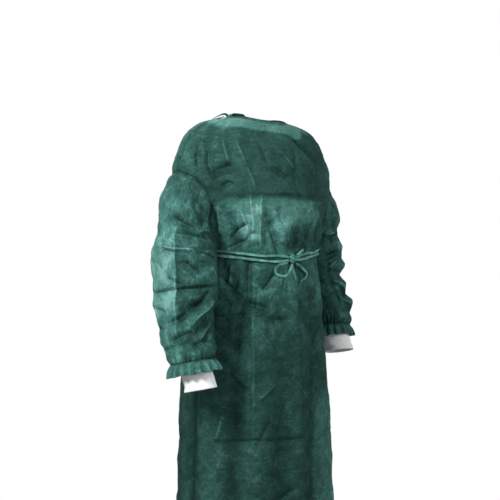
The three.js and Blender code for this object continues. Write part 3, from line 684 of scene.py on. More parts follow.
def body_folded(turn, drop, lift=0.0):
    """The base form with its largest folds only, for pieces that bridge the small creases."""
    ridges, troughs = fold_heights(BODY_FOLDS, turn, drop, BODY_MM_PER_DEGREE)
    height = below_neck(drop) * (troughs + ridges * (1 - pressed_flat(drop))) + lift
    return body_base(turn, drop) + body_normal(turn, drop) * height[..., None]


print("cloth in front of the waist, mm:", body_cloth(90, WAIST_DROP).round(1))

# %% [markdown]
# Every piece is cut, so every mesh has a cloth map in metres, on which the finish's pattern keeps its
# real size. One maker turns a grid of points into such a mesh, with named values for the finish and a
# thin wall. Closed tubes share their first and last column, so no seam opens there.

# %% Piece maker
CLOTH_WALL = 0.0005


def cloth_grid(across, along):
    """A cloth map in metres, from the mm across and along the cloth at each point."""
    return np.stack([across, along], axis=-1) * MM


def new_piece(name, points, cloth_map, values, finish, outward,
              tube=False, capped=False, wall=CLOTH_WALL):
    """A mesh of the grid's squares, in mm. A tube's grid closes on its first column, and its cloth map
    has one column more. Faces are turned to agree with the outward vectors given for the points."""
    rows, columns = points.shape[:2]
    wide = columns + 1 if tube else columns
    corner = np.arange(rows * wide).reshape(rows, wide)
    squares = np.stack([corner[:-1, :-1], corner[1:, :-1], corner[1:, 1:], corner[:-1, 1:]], axis=-1)
    squares = squares.reshape(-1, 4)
    row, column = np.divmod(squares, wide)
    faces = row * columns + column % columns
    flat_points = points.reshape(-1, 3)
    first, second, third = (flat_points[faces[:, index]] for index in range(3))
    facing = np.cross(second - first, third - second)
    wanted = np.broadcast_to(outward, points.shape).reshape(-1, 3)[faces[:, 0]]
    inward = np.sum(facing * wanted) < 0
    if inward:
        faces = faces[:, ::-1]
        squares = squares[:, ::-1]
    face_list = faces.tolist()
    map_corners = squares.ravel().tolist()
    if capped:
        start = list(range(columns))
        end = list(range((rows - 1) * columns, rows * columns))[::-1]
        for ring in (start, end):
            ring = ring[::-1] if inward else ring
            face_list.append(ring)
            map_corners += [vertex // columns * wide + vertex % columns for vertex in ring]
    mesh = bpy.data.meshes.new(name)
    mesh.from_pydata((flat_points * MM).tolist(), [], face_list)
    layer = mesh.uv_layers.new(name="cloth")
    layer.data.foreach_set("uv", cloth_map.reshape(-1, 2)[map_corners].ravel())
    for key, value in values.items():
        attribute = mesh.attributes.new(key, "FLOAT", "POINT")
        each = np.broadcast_to(value, points.shape[:2])
        attribute.data.foreach_set("value", each.ravel().astype(np.float32))
    mesh.polygons.foreach_set("use_smooth", np.ones(len(face_list), bool))
    mesh.materials.append(finish)
    piece = bpy.data.objects.new(name, mesh)
    bpy.context.scene.collection.objects.link(piece)
    if wall:
        shell = piece.modifiers.new("wall", "SOLIDIFY")
        shell.thickness = wall
        shell.offset = 0
    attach(piece, "root")
    print(name, "points", len(mesh.vertices), "faces", len(mesh.polygons))


# %% [markdown]
# Shader nodes could be linked one by one, but maths reads best as plain expressions. `Value` wraps
# one output of a node tree and turns sums, differences and products into Math nodes. `Finish.node`
# adds every other node, and the short methods after it add the ones that are used most.

# %% Shader values
class Value:
    """One output of a finish's node tree, for use in expressions."""

    def __init__(self, finish, socket):
        self.finish = finish
        self.socket = socket

    def _math(self, operation, first, second):
        return self.finish.node("ShaderNodeMath", {"operation": operation}, {0: first, 1: second})

    def __add__(self, other):
        return self._math("ADD", self, other)

    def __sub__(self, other):
        return self._math("SUBTRACT", self, other)

    def __rsub__(self, other):
        return self._math("SUBTRACT", other, self)

    def __mul__(self, other):
        return self._math("MULTIPLY", self, other)

    __radd__ = __add__
    __rmul__ = __mul__


class Finish:
    """A material whose nodes are added one call at a time."""

    def __init__(self, name):
        self.material = bpy.data.materials.new(name)
        self.material.use_nodes = True
        self.tree = self.material.node_tree
        self.tree.nodes.clear()

    def node(self, kind, settings=None, sockets=None, output=0):
        """Adds a node: its settings first, then the values or links of its sockets."""
        node = self.tree.nodes.new(kind)
        for key, value in (settings or {}).items():
            if key == "stops":
                ramp = node.color_ramp
                for index, (place, colour) in enumerate(value):
                    stop = ramp.elements[index] if index < 2 else ramp.elements.new(place)
                    stop.position = place
                    stop.color = colour
            else:
                setattr(node, key, value)
        for key, value in (sockets or {}).items():
            if isinstance(value, Value):
                self.tree.links.new(value.socket, node.inputs[key])
            else:
                node.inputs[key].default_value = value
        return Value(self, node.outputs[output]) if len(node.outputs) else None

    def attribute(self, name):
        return self.node("ShaderNodeAttribute", {"attribute_name": name}, output=2)

    def noise(self, place, scale, detail, roughness=0.5, distortion=0.0, output=0):
        """Soft noise in layers: each next layer is half the size and a share of the strength."""
        return self.node("ShaderNodeTexNoise", None, {
            "Vector": place, "Scale": scale, "Detail": detail, "Roughness": roughness,
            "Distortion": distortion}, output)

    def size_of(self, value):
        """A value without its sign."""
        return self.node("ShaderNodeMath", {"operation": "ABSOLUTE"}, {0: value})

    def clamped(self, value):
        """A value kept between 0 and 1."""
        return self.node("ShaderNodeClamp", None, {"Value": value})

    def scaled(self, colour, share):
        """A colour times a number, through Vector Math."""
        return self.node("ShaderNodeVectorMath", {"operation": "SCALE"}, {0: colour, "Scale": share})

    def done(self, surface):
        self.node("ShaderNodeOutputMaterial", None, {"Surface": surface})
        return self.material


def seen_colour(red, green, blue):
    """A colour as seen on a screen, 0 to 255, as the linear light that a shader wants."""
    screen = np.array([red, green, blue]) / 255
    linear = np.where(screen <= 0.04045, screen / 12.92, ((screen + 0.055) / 1.055) ** 2.4)
    return (*linear.tolist(), 1.0)


print("mid green as light:", [round(value, 3) for value in seen_colour(69, 116, 112)])

# %% [markdown]
# Spunbond is a felt of endless fibres, bonded by hot dots in rows. It looks matt and a little cloudy,
# and lets light through where nothing lies behind it. A photograph of cloth could be wrapped round the
# gown, but its creases would not lie where this gown folds, so the pattern is worked out instead. A
# tone from the mesh picks the green. Crease lines from the mesh, crinkles with flats between them,
# clouds and fibres vary it. Creases, crinkles, fibres and dots are also a bump, and a share of the
# light passes through the wall. Faces seen from inside the thin wall are left clear, so each layer
# of cloth counts once.

# %% Spunbond crinkle and creases
# Columns: cells per metre, how narrow their edges are, height of the flats between them, lightness
CRINKLES = [[31.0, 12.0, 0.18, 0.11], [67.0, 8.0, 0.11, 0.11], [140.0, 5.0, 0.05, 0.08]]
CRINKLE_EDGE = 0.3
BEND = {"scale": 34.0, "reach": 0.012}
# Crease edge: whitening of bent fibres. Ridge: painted light on ridges, painted shade in troughs. Shadow:
# painted shadow on one flank.
LINE_LIGHT = {"edge": 0.10, "ridge": 0.04, "shadow": 0.06}


def crease_lines(finish):
    """Sum over the layers. Bump: bite, falling evenly to nothing over the flank. Light: a narrow edge
    on the line, as strong as the bite, where bent fibres whiten, with painted light on ridges and painted
    shade in troughs, less a painted shadow on one flank."""
    folds = 0.0
    light = 0.0
    for layer in range(CREASE["layers"]):
        off = finish.attribute(f"off_{layer}")
        bite = finish.attribute(f"bite_{layer}")
        away = finish.size_of(off)
        depth = finish.size_of(bite)
        flank = finish.clamped(1 - away * (1 / CREASE["flank"]))
        edge = finish.clamped(1 - away * (1 / CREASE["edge"]))
        folds = folds + bite * flank
        light = light + (depth * LINE_LIGHT["edge"] + bite * LINE_LIGHT["ridge"]) * edge
        light = light - depth * LINE_LIGHT["shadow"] * flank * finish.clamped(off * 0.5)
    return folds, light


def crinkle(finish, place, patches):
    """Sum over the sizes of cells, on a slightly bent cloth map. Bump: distance to the cell's edge, up
    to a limit. Light: bright edges in patches, and each flat a little lighter or darker."""
    swirl = finish.noise(place, BEND["scale"], 2.0, output=1)
    shift = finish.scaled(swirl, BEND["reach"])
    bent = finish.node("ShaderNodeVectorMath", {"operation": "ADD"}, {0: place, 1: shift})
    patchy = finish.clamped((patches - 0.42) * 6.0)
    flats = 0.0
    light = 0.0
    for scale, narrow, height, lightness in CRINKLES:
        cells = {"Vector": bent, "Scale": scale, "Randomness": 1.0}
        edge = finish.node("ShaderNodeTexVoronoi", {"feature": "DISTANCE_TO_EDGE"}, cells)
        raised = finish.node("ShaderNodeMath", {"operation": "MINIMUM"}, {0: edge, 1: CRINKLE_EDGE})
        flat = finish.node("ShaderNodeTexVoronoi", None, cells, output=1)
        apart = finish.node("ShaderNodeSeparateColor", None, {0: flat})
        flats = flats + raised * height
        light = light + finish.clamped(1 - edge * narrow) * lightness * patchy
        light = light + (apart - 0.5) * lightness
    return flats, light


print("crinkle cells, mm:", [round(1000 / row[0]) for row in CRINKLES])

# %% Spunbond finish
GREENS = [
    (0.0, seen_colour(24, 55, 48)),
    (0.2, seen_colour(36, 74, 66)),
    (0.4, seen_colour(53, 96, 89)),
    (0.6, seen_colour(72, 126, 118)),
    (0.8, seen_colour(100, 157, 147)),
    (1.0, seen_colour(134, 190, 179)),
]
# Features per metre of cloth
FINE = {"patches": 42.0, "clouds": 170.0, "fibres": 850.0, "dots": 430.0}
GREEN_SHARES = {"patches": 0.2, "clouds": 0.55}
RELIEF = {"folds": 0.13, "fibres": 0.012, "dots": 0.008, "clouds": 0.03}
THROUGH_SHARE = 0.2


def spunbond(name, thin_wall=True):
    """Green cloth: ramp(tone + crease light + crinkle light + clouds), with fibres on it, a bump of
    creases, crinkle, fibres and dots, and a share of the light passed on."""
    finish = Finish(name)
    place = finish.node("ShaderNodeUVMap", {"uv_map": "cloth"})
    crush = finish.attribute("crush")
    patches = finish.noise(place, FINE["patches"], 4.0, 0.62)
    clouds = finish.noise(place, FINE["clouds"], 5.0, 0.68)
    fibres = finish.noise(place, FINE["fibres"], 3.0, 0.6, 1.6)
    dots = finish.node("ShaderNodeTexVoronoi", None, {
        "Vector": place, "Scale": FINE["dots"], "Randomness": 0.25})
    bonded = finish.clamped((0.34 - dots) * 7.0)
    folds, crease_light = crease_lines(finish)
    flats, crinkle_light = crinkle(finish, place, patches)
    green = finish.attribute("tone") + crease_light + crinkle_light * crush
    green = green + (patches - 0.5) * GREEN_SHARES["patches"] + (clouds - 0.5) * GREEN_SHARES["clouds"]
    ramp = finish.node("ShaderNodeValToRGB", {"stops": GREENS}, {"Fac": green})
    colour = finish.scaled(ramp, 0.9 + fibres * 0.24 - bonded * 0.1)
    relief = folds * RELIEF["folds"] + flats * crush + fibres * RELIEF["fibres"]
    relief = relief - bonded * RELIEF["dots"] + clouds * RELIEF["clouds"]
    bump = finish.node("ShaderNodeBump", None, {"Strength": 0.9, "Distance": 0.014, "Height": relief})
    skin = finish.node("ShaderNodeBsdfPrincipled", None, {
        "Base Color": colour, "Roughness": 0.66 + clouds * 0.2, "Normal": bump,
        "Specular IOR Level": 0.14})
    if not thin_wall:
        return finish.done(skin)
    passing = finish.node("ShaderNodeBsdfTranslucent", None, {"Color": colour})
    cloth = finish.node("ShaderNodeMixShader", None, {0: THROUGH_SHARE, 1: skin, 2: passing})
    open_share = finish.clamped(finish.attribute("clear") * (0.7 + clouds * 0.6))
    inside = finish.node("ShaderNodeNewGeometry", None, None, output=6)
    nothing = finish.node("ShaderNodeBsdfTransparent")
    factor = open_share + (1 - open_share) * inside
    return finish.done(finish.node("ShaderNodeMixShader", None, {0: factor, 1: cloth, 2: nothing}))


gown_green = spunbond("spunbond_green")
binding_green = spunbond("binding_green", thin_wall=False)
tie_green = spunbond("tie_green", thin_wall=False)
print("greens from dark to light:", len(GREENS))

# %% [markdown]
# The cuffs are a white rib knit. Each loop could be a thread, but at this size only ribs and a fine
# grain are seen. So the ribs are in the mesh, and a value from the mesh says how deep each point lies,
# which paints shade into the grooves. Fine loops along the ribs are a bump.

# %% Knit finish
def rib_knit(name):
    """White knit: a white and a greyer white for painted shade, mixed by the groove's depth, and rows
    of loops as a bump.
    """
    finish = Finish(name)
    place = finish.node("ShaderNodeUVMap", {"uv_map": "cloth"})
    groove_shade = finish.attribute("tone")
    loops = finish.node("ShaderNodeTexWave", {"wave_type": "BANDS", "bands_direction": "Y"}, {
        "Vector": place, "Scale": 190.0, "Distortion": 1.2, "Detail": 1.0, "Detail Scale": 2.0})
    fluff = finish.noise(place, 900.0, 2.0)
    ramp = finish.node("ShaderNodeValToRGB", {"stops": [
        (0.0, seen_colour(252, 252, 252)), (1.0, seen_colour(222, 227, 228))]},
        {"Fac": groove_shade + (fluff - 0.5) * 0.25})
    bump = finish.node("ShaderNodeBump", None, {
        "Strength": 0.5, "Distance": 0.0006, "Height": loops * 0.6 + fluff * 0.4})
    return finish.done(finish.node("ShaderNodeBsdfPrincipled", None, {
        "Base Color": ramp, "Roughness": 0.86, "Normal": bump,
        "Specular IOR Level": 0.25, "Sheen Weight": 0.3, "Sheen Roughness": 0.5}))


knit_white = rib_knit("knit_white")
print("finishes:", [material.name for material in bpy.data.materials if material.use_nodes])

# %% [markdown]
# The panels: one front and two backs, cut from the neck to the hem. One tube with holes cut in it
# would be simpler, but the lap shows, so each panel is a piece. Each row of its grid runs from edge to
# edge and gives way to the armhole near its ends. The armhole is an oval in the side. At a seam two
# layers are joined, so the cloth is drawn in a little and looks denser there.

# %% Panels
def armhole_turn(drop):
    """How far the armhole reaches round from the side: half turn times the root of 1 - level^2."""
    level = (drop - ARMHOLE["middle"]) / ARMHOLE["half_drop"]
    return ARMHOLE["half_turn"] * np.sqrt(np.maximum(0, 1 - level**2))


# The right back over the left one: half the lap and the turns between which it rises, in degrees,
# and how high it carries its own cloth and a tie, in mm
LAP = {"half": 15, "from": 238, "to": 253, "cloth": 4.5, "tie": 5}
# How light the green is on the chest, and what each place adds to it. The neck's and the side
# strip's shares are painted light, where light would come through the thin cloth.
BODY_TONES = {
    "chest": 0.23, "belly": 0.42, "below_tie": 0.13, "lower_skirt": -0.06, "shoulder": 0.18,
    "neck": 0.4, "painted_light_side": 0.30, "uneven": 0.02,
}


def lap_lift(turn, lift=LAP["cloth"]):
    """How high the right back, or a tie on it, lies over the left one."""
    return lift * smooth(LAP["from"], LAP["to"], turn)


def shoulder_share(turn, drop, start, end, low, high):
    """1 on the shoulders: where |cos turn| is high, above a drop."""
    return smooth(start, end, np.abs(np.cos(turn * DEGREE))) * (1 - smooth(low, high, drop))


def body_tone(turn, drop, base):
    """How light the green is: the chest's tone, plus each place's own times a smooth share there."""
    uneven = 18 * waves(base, 130, 53)
    belly = smooth(184, 200, drop) * (1 - smooth(262, 322, drop + uneven))
    shares = {
        "chest": 1,
        "belly": belly * smooth(178, 140, turn + uneven) * smooth(28, 92, turn + uneven),
        "below_tie": bell(drop, 368, 52),
        "lower_skirt": smooth(470, 560, drop),
        "shoulder": shoulder_share(turn, drop, 0.74, 0.96, 100, 200),
        # Painted light, where light would come through the thin cloth
        "neck": 1 - smooth(26, 36, drop + 5 * waves(base, 60, 52)),
        "painted_light_side": smooth(80, 72, turn) * smooth(30, 44, turn) * smooth(560, 660, drop),
        "uneven": waves(base, 70, 51),
    }
    return sum(BODY_TONES[place] * share for place, share in shares.items())


def body_crush(turn, drop):
    """How crinkled the cloth is: little on the chest, much above the tie and on the shoulders."""
    shoulder = shoulder_share(turn, drop, 0.7, 0.92, 150, 230)
    crush = 0.45 + 0.55 * smooth(178, 216, drop) - 0.25 * smooth(400, 520, drop) + 0.45 * shoulder
    return np.clip(crush, 0, 1) * smooth(0, 14, drop)


def panel_rows():
    """Rows 3.2 mm apart down to the part that the picture shows, then wider."""
    upper = np.linspace(0, 720, 226)
    lower = np.linspace(720, HEM_DROP, 76)[1:]
    return np.concatenate([upper, lower])


# Share of a row that gives way to an armhole
GIVE_SHARE = 0.42
SEAM = {"half": 3.0, "drawn": 0.9, "darker": 0.09, "from": 7, "to": 9}
# How see-through each place is
CLEAR = {"cloth": 0.003, "neck": 0.1, "strip": 0.09, "frill": 0.03}


def panel(node, columns, first, final, armholes, lapped):
    """Turn runs from the first edge to the final one; each armhole takes its reach from it."""
    drop, share = grid(panel_rows(), np.linspace(0, 1, columns))
    give = armhole_turn(drop)
    from_first = give * (1 - smooth(0, GIVE_SHARE, share)) * armholes[0]
    from_final = give * smooth(1 - GIVE_SHARE, 1, share) * armholes[1]
    turn = first + (final - first) * share + from_first - from_final
    base = body_base(turn, drop)
    edge = np.minimum(np.where(armholes[0], share, 1), np.where(armholes[1], 1 - share, 1))
    edge = edge * (final - first) * BODY_MM_PER_DEGREE
    seam = np.exp(-((edge / SEAM["half"]) ** 2)) * smooth(0, 12, drop)
    height, shade = body_height(turn, drop, base)
    lift = lap_lift(turn) if lapped else 0
    normal = body_normal(turn, drop)
    points = base + normal * (height + lift - SEAM["drawn"] * seam)[..., None]
    dense = SEAM["darker"] * (1 - smooth(SEAM["from"], SEAM["to"], edge))
    values = {
        "tone": body_tone(turn, drop, base) + shade - dense,
        "clear": CLEAR["neck"] * (1 - smooth(20, 36, drop)) + CLEAR["cloth"],
        "crush": body_crush(turn, drop),
        **crease_values(BODY_CREASES, *body_slight(turn, drop, base), BODY_MM_PER_DEGREE),
    }
    new_piece(f"{node}_cloth", points, cloth_grid(turn * BODY_MM_PER_DEGREE, drop), values,
              gown_green, normal)


# Columns: node, columns of its grid, first and final edge in degrees, armhole at either, lapped over
PANELS = [
    ["front_panel", 150, 0, 180, (1, 1), False],
    ["back_panel_right", 92, 180, 270 + LAP["half"], (1, 0), True],
    ["back_panel_left", 92, 270 - LAP["half"], 360, (0, 1), False],
]
for row in PANELS:
    panel(*row)

# %% [markdown]
# The sleeves: wide tubes set into the armholes, gathered at the end. A plain cone would not meet the
# armhole, so each sleeve starts on the armhole's own edge and gives way to oval rings within 62 mm.
# The near one is a little longer and bends less.

# %% Sleeve form
SLEEVE_LENGTH = {"right": 348, "left": 318}
# Columns: along, out, forward, z, half out, half forward, tilt and pitch in degrees
SLEEVE_RINGS = {
    "right": np.array([
        [0, 200, 0, -193, 63, 54, 64, 0],
        [14, 211, 5, -203, 62, 57, 54, 0],
        [32, 219, 12, -219, 61, 58, 40, 0],
        [56, 227, 22, -242, 59, 56, 24, 1],
        [90, 232, 31, -275, 60, 60, 9, 2],
        [125, 233, 29, -306, 61, 76, 0, 4],
        [165, 234, 29, -350, 60, 77, -3, 6],
        [215, 237, 33, -400, 58, 73, -4, 8],
        [252, 240, 38, -437, 56, 60, -4, 9],
        [290, 242, 47, -475, 54, 58, -4, 10],
        [324, 243, 58, -506, 51, 56, -4, 10],
        [348, 243, 63, -527, 45, 45, -4, 10],
    ], float),
    "left": np.array([
        [0, 200, 0, -193, 63, 54, 64, 0],
        [14, 211, -2, -203, 62, 56, 54, 0],
        [32, 219, -10, -219, 61, 58, 40, 0],
        [56, 228, -24, -242, 60, 60, 24, -3],
        [90, 234, -35, -273, 60, 64, 9, -5],
        [125, 235, -34, -306, 61, 67, 0, -3],
        [160, 236, -28, -338, 60, 68, -3, 4],
        [200, 238, -24, -376, 58, 67, -4, 10],
        [240, 240, -10, -412, 57, 66, -4, 14],
        [275, 242, 3, -442, 55, 64, -4, 14],
        [302, 243, 9, -463, 53, 60, -4, 13],
        [318, 243, 14, -477, 46, 46, -4, 12],
    ], float),
}
SIGN = {"right": -1, "left": 1}
SLEEVE_BLEND = 62


def ring_frame(side, along):
    """Centre, outward and forward directions, and half sizes of a sleeve's ring."""
    out, forward, z, half_out, half_forward, tilt, pitch = np.moveaxis(
        curve(SLEEVE_RINGS[side], along), -1, 0)
    sign = SIGN[side]
    zero = 0 * out
    centre = np.stack([sign * out, -forward, z], axis=-1)
    outward = np.stack([sign * np.cos(tilt * DEGREE), zero, np.sin(tilt * DEGREE)], axis=-1)
    ahead = np.stack([zero, -np.cos(pitch * DEGREE), np.sin(pitch * DEGREE)], axis=-1)
    return centre, outward, ahead, half_out, half_forward


def oval(outward, ahead, half_out, half_ahead, around):
    """outward half_out cos r + ahead half_ahead sin r."""
    out = half_out * np.cos(around * DEGREE)
    forward = half_ahead * np.sin(around * DEGREE)
    return outward * out[..., None] + ahead * forward[..., None]


def sleeve_base(side, edge_of):
    """Surface(round, along): the armhole's edge carried along with the ring's centre, mixed by a
    smooth step with centre + outward half cos r + forward half sin r."""
    start = ring_frame(side, np.array(0.0))[0]

    def surface(around, along):
        around, along = np.broadcast_arrays(np.asarray(around, float), np.asarray(along, float))
        centre, outward, ahead, half_out, half_forward = ring_frame(side, np.maximum(along, 0))
        tube = centre + oval(outward, ahead, half_out, half_forward, around)
        edge = edge_of(around) + centre - start
        mix = smooth(0, SLEEVE_BLEND, along)[..., None]
        return edge * (1 - mix) + tube * mix

    return surface


def armhole_edge(side):
    """The armhole's oval on the body's cloth, read at 720 places and between them in a line."""
    around = np.arange(0, 360.01, 0.5)
    drop = ARMHOLE["middle"] - ARMHOLE["half_drop"] * np.cos(around * DEGREE)
    aside = ARMHOLE["half_turn"] * np.sin(around * DEGREE)
    turn = 180 - aside if side == "right" else aside
    places = body_cloth(turn, drop) - body_normal(turn, drop) * SEAM["drawn"]

    def read(angle):
        angle = np.asarray(angle, float) % 360
        return np.stack([np.interp(angle, around, places[:, axis]) for axis in range(3)], axis=-1)

    return read


print("sleeve length, mm:", SLEEVE_LENGTH)

# %% [markdown]
# A sleeve sags in folds that run round it, with hollows on the inner side of its bend. Only the places
# of the folds differ from the body's, so the same helpers make them. The outer side stands clear, so
# light comes through it there: it is a little see-through, and that light is also painted into its
# colour as a lighter strip. A package fold runs down its middle.

# %% Sleeve folds and creases
# Columns: along and degrees round of both ends, half width and height in mm
SLEEVE_FOLDS = {
    "right": [
        [18, 40, 46, 100, 14, -5],
        [34, -30, 58, 60, 14, 5],
        [60, 40, 84, 120, 13, -6],
        [96, -20, 104, 70, 14, 5],
        [112, 60, 128, 140, 13, -7],
        [124, 20, 142, 90, 13, 5],
        [150, 75, 182, 60, 13, -5],
        [196, 0, 200, 110, 14, -5],
        [214, 100, 262, 20, 15, -7],
        [240, 110, 290, 20, 15, 6],
        [268, 110, 316, 10, 14, -7],
        [306, 100, 330, 40, 12, -5],
        [40, 210, 70, 290, 14, -5],
        [90, 230, 110, 310, 14, -6],
        [120, 220, 134, 300, 13, 5],
        [150, 210, 176, 300, 14, -5],
        [205, 230, 236, 310, 15, -6],
        [250, 220, 282, 310, 14, -6],
        [300, 230, 318, 330, 13, -5],
    ],
    "left": [
        [18, 40, 46, 100, 14, -5],
        [36, -20, 62, 70, 14, 5],
        [66, 30, 92, 120, 13, -6],
        [104, -10, 116, 80, 14, 5],
        [126, 50, 132, 130, 13, -7],
        [150, 0, 156, 100, 13, 5],
        [176, 30, 190, 120, 14, -6],
        [208, -10, 216, 100, 14, 6],
        [236, 20, 250, 110, 14, -7],
        [262, -20, 274, 90, 13, 5],
        [290, 20, 296, 110, 12, -6],
        [40, 210, 70, 290, 14, -5],
        [96, 220, 116, 310, 14, -6],
        [136, 230, 150, 320, 13, -5],
        [170, 220, 190, 310, 14, 5],
        [206, 230, 226, 320, 14, -6],
        [250, 220, 266, 320, 14, -6],
        [286, 230, 298, 320, 12, -4],
    ],
}
SLEEVE_CREASES = [
    [66, 26, 330, 24, 3.4, 1.8],
    [60, 118, 320, 112, 3.6, -1.6],
    [50, 206, 320, 206, 3.6, 1.4],
    [60, 296, 320, 292, 3.6, -1.4],
    [196, -60, 202, 120, 3.6, -2.0],
    [198, 130, 204, 300, 3.6, -1.6],
    [38, 56, 66, 96, 4.2, -2.6],
    [66, 20, 82, 74, 4.2, -2.6],
    [82, 74, 70, 118, 4.2, 2.0],
    [92, 30, 98, 100, 4.2, -2.6],
    [112, 0, 122, 60, 4.4, 2.2],
    [128, 62, 146, 112, 4.4, -3.2],
    [146, 40, 176, 66, 4.4, -2.2],
    [160, 90, 190, 118, 4.4, 2.0],
    [168, 10, 190, 36, 4.4, -1.8],
    [212, 96, 246, 50, 4.2, -3.0],
    [246, 50, 262, 14, 4.2, -2.4],
    [226, 110, 268, 60, 4.2, 2.2],
    [250, 104, 286, 56, 4.2, -3.0],
    [286, 56, 298, 10, 4.2, -2.4],
    [272, 108, 306, 70, 4.0, 2.0],
    [300, 100, 318, 48, 4.0, -2.6],
    [304, 20, 320, -20, 4.0, -2.0],
    [222, -40, 240, 0, 4.4, -2.0],
    [262, -50, 276, -6, 4.4, -2.0],
    [120, -56, 146, -24, 4.4, -2.0],
    [78, -50, 98, -8, 4.4, -1.8],
    [150, 140, 176, 196, 4.4, -2.4],
    [220, 136, 246, 190, 4.4, -2.4],
    [270, 140, 292, 200, 4.2, -2.2],
    [60, 230, 96, 270, 4.4, -2.2],
    [110, 236, 132, 286, 4.4, -2.4],
    [164, 226, 190, 280, 4.4, 2.0],
    [222, 236, 254, 284, 4.4, -2.4],
    [280, 230, 300, 290, 4.2, -2.2],
]
SLEEVE_MM_PER_DEGREE = 1.15
PLEATS = {"count": 34, "depth": 1.1, "reach": 34}


def by_round(rows, stretch=1.0):
    """Rows with the degrees first, as fold_heights takes them, and along stretched to the sleeve."""
    return [[r1, a1 * stretch, r2, a2 * stretch, *rest] for a1, r1, a2, r2, *rest in rows]


def sleeve_creases(side):
    """The crease rows as fold_heights takes them, stretched to the side's sleeve."""
    return by_round(SLEEVE_CREASES, SLEEVE_LENGTH[side] / SLEEVE_LENGTH["right"])


def sleeve_slight(around, along, base):
    """Round and along with a slight wander, so that no crease is a ruled line."""
    return around + 1.2 * waves(base, 50, 213, 8), along + 1.2 * waves(base, 50, 214, 8)


def pleat_wave(around):
    """Uneven small pleats: a cosine whose phase swings as it goes round."""
    return np.cos((around + 6 * np.sin(3 * around * DEGREE)) * DEGREE * PLEATS["count"])


def sleeve_height(side, around, along, base):
    """Folds, creases and crumple, faded at the armhole's seam, low next to the body, and small
    pleats that grow towards the gather line, where all of them are drawn in. Gives also the painted
    shading: painted light on ridges and pleats, painted shade in troughs and at the gather line."""
    length = SLEEVE_LENGTH[side]
    wandered_round = around + 3.0 * waves(base, 80, 211, 8)
    wandered_along = along + 3.0 * waves(base, 80, 212, 8)
    ridges, troughs = fold_heights(
        by_round(SLEEVE_FOLDS[side]), wandered_round, wandered_along, SLEEVE_MM_PER_DEGREE)
    slight_round, slight_along = sleeve_slight(around, along, base)
    lines_up, lines_down = fold_heights(
        heavier(sleeve_creases(side)), slight_round, slight_along, SLEEVE_MM_PER_DEGREE, sharp=True)
    bare = smooth(2, 18, along) * (1 - smooth(length - 20, length - 2, along))
    inner = 1 - 0.75 * smooth(-0.3, -0.9, np.cos(around * DEGREE))
    relief = 1.15 * crumples(base, 300)
    drawn = np.exp(-((length - along) / 4) ** 2)
    pleats = PLEATS["depth"] * smooth(length - PLEATS["reach"], length, along) * pleat_wave(around)
    height = bare * inner * (ridges + troughs + lines_up + lines_down + relief) + pleats - 0.8 * drawn
    # Painted light and shade of the relief and pleats, and painted shade at the gather line
    shade = bare * painted_light(folds=ridges + troughs, lines=lines_up + lines_down, relief=relief)
    return height, shade + 0.05 * pleats - 0.1 * drawn


STRIP_SIDE = {"middle": 335, "half": 50, "crisp_edge": 2.5, "soft_edge": 13, "least": 0.45}
# The strip's share is painted light, where light comes through the outer side, and the share next to the
# body is painted shade.
SLEEVE_TONES = {"right": 0.33, "left": 0.36, "strip": 0.47, "painted_shade_by_body": -0.2, "uneven": 0.03}


def sleeve_strip(around, along, base):
    """The outer side, which stands clear: its edge is crisp half way down, and wavers and softens
    above and below."""
    crisp = smooth(90, 130, along) * (1 - smooth(215, 260, along))
    edge = STRIP_SIDE["half"] + (1 - crisp) * 9 * waves(base, 60, 254)
    half = STRIP_SIDE["crisp_edge"] + STRIP_SIDE["soft_edge"] * (1 - crisp)
    off_middle = np.abs(turn_difference(around - STRIP_SIDE["middle"]))
    strength = STRIP_SIDE["least"] + (1 - STRIP_SIDE["least"]) * crisp
    return smooth(edge + half, edge - half, off_middle) * smooth(12, 70, along) * strength


def sleeve_tone(side, around, along, base):
    """Lighter than the body, with painted light brightest on the outer side, and painted shade on the
    side next to the body.
    """
    light = SLEEVE_TONES["strip"] + 0.05 * waves(base, 52, 252) + 0.11 * facets(base, 44, 253)
    return (
        SLEEVE_TONES[side]
        + light * sleeve_strip(around, along, base)
        + SLEEVE_TONES["painted_shade_by_body"] * smooth(-0.2, -0.8, np.cos(around * DEGREE))
        + SLEEVE_TONES["uneven"] * waves(base, 60, 251)
    )


print("outer side, degrees:", [STRIP_SIDE["middle"] + STRIP_SIDE["half"] * way for way in (-1, 1)])

# %% [markdown]
# A sleeve is cut flat and closed by a seam along it. Two mirrored copies would do for a gown laid
# flat, but worn sleeves sag differently, so one function builds both, each from its own tables.

# %% Sleeves
def sleeve(side, columns=168, rows=132):
    """A closed tube of the sleeve's surface moved out along its normal by the height."""
    length = SLEEVE_LENGTH[side]
    surface = sleeve_base(side, armhole_edge(side))
    down = np.linspace(0, length, rows)
    along, around = grid(down, round_steps(columns))
    base = surface(around, along)
    normal = square_to(surface, around, np.maximum(along, 1), 1) * SIGN[side]
    height, shade = sleeve_height(side, around, along, base)
    dense = 0.08 * (1 - smooth(SEAM["from"], SEAM["to"], along))
    values = {
        "tone": sleeve_tone(side, around, along, base) + shade - dense,
        "clear": CLEAR["cloth"] + CLEAR["strip"] * sleeve_strip(around, along, base),
        "crush": 1.0,
        **crease_values(
            sleeve_creases(side), *sleeve_slight(around, along, base), SLEEVE_MM_PER_DEGREE),
    }
    map_along, map_round = grid(down, round_steps(columns, 1))
    cloth_map = cloth_grid(map_round * SLEEVE_MM_PER_DEGREE, map_along)
    new_piece(f"sleeve_{side}_cloth", base + normal * height[..., None], cloth_map, values,
              gown_green, normal, tube=True)


for side in SIGN:
    sleeve(side)

# %% [markdown]
# Past the gather line the sleeve's own cloth stands out as an open frill, in uneven waves. It could be
# the last rows of the sleeve, but it needs many more columns, so it is a tube of its own.

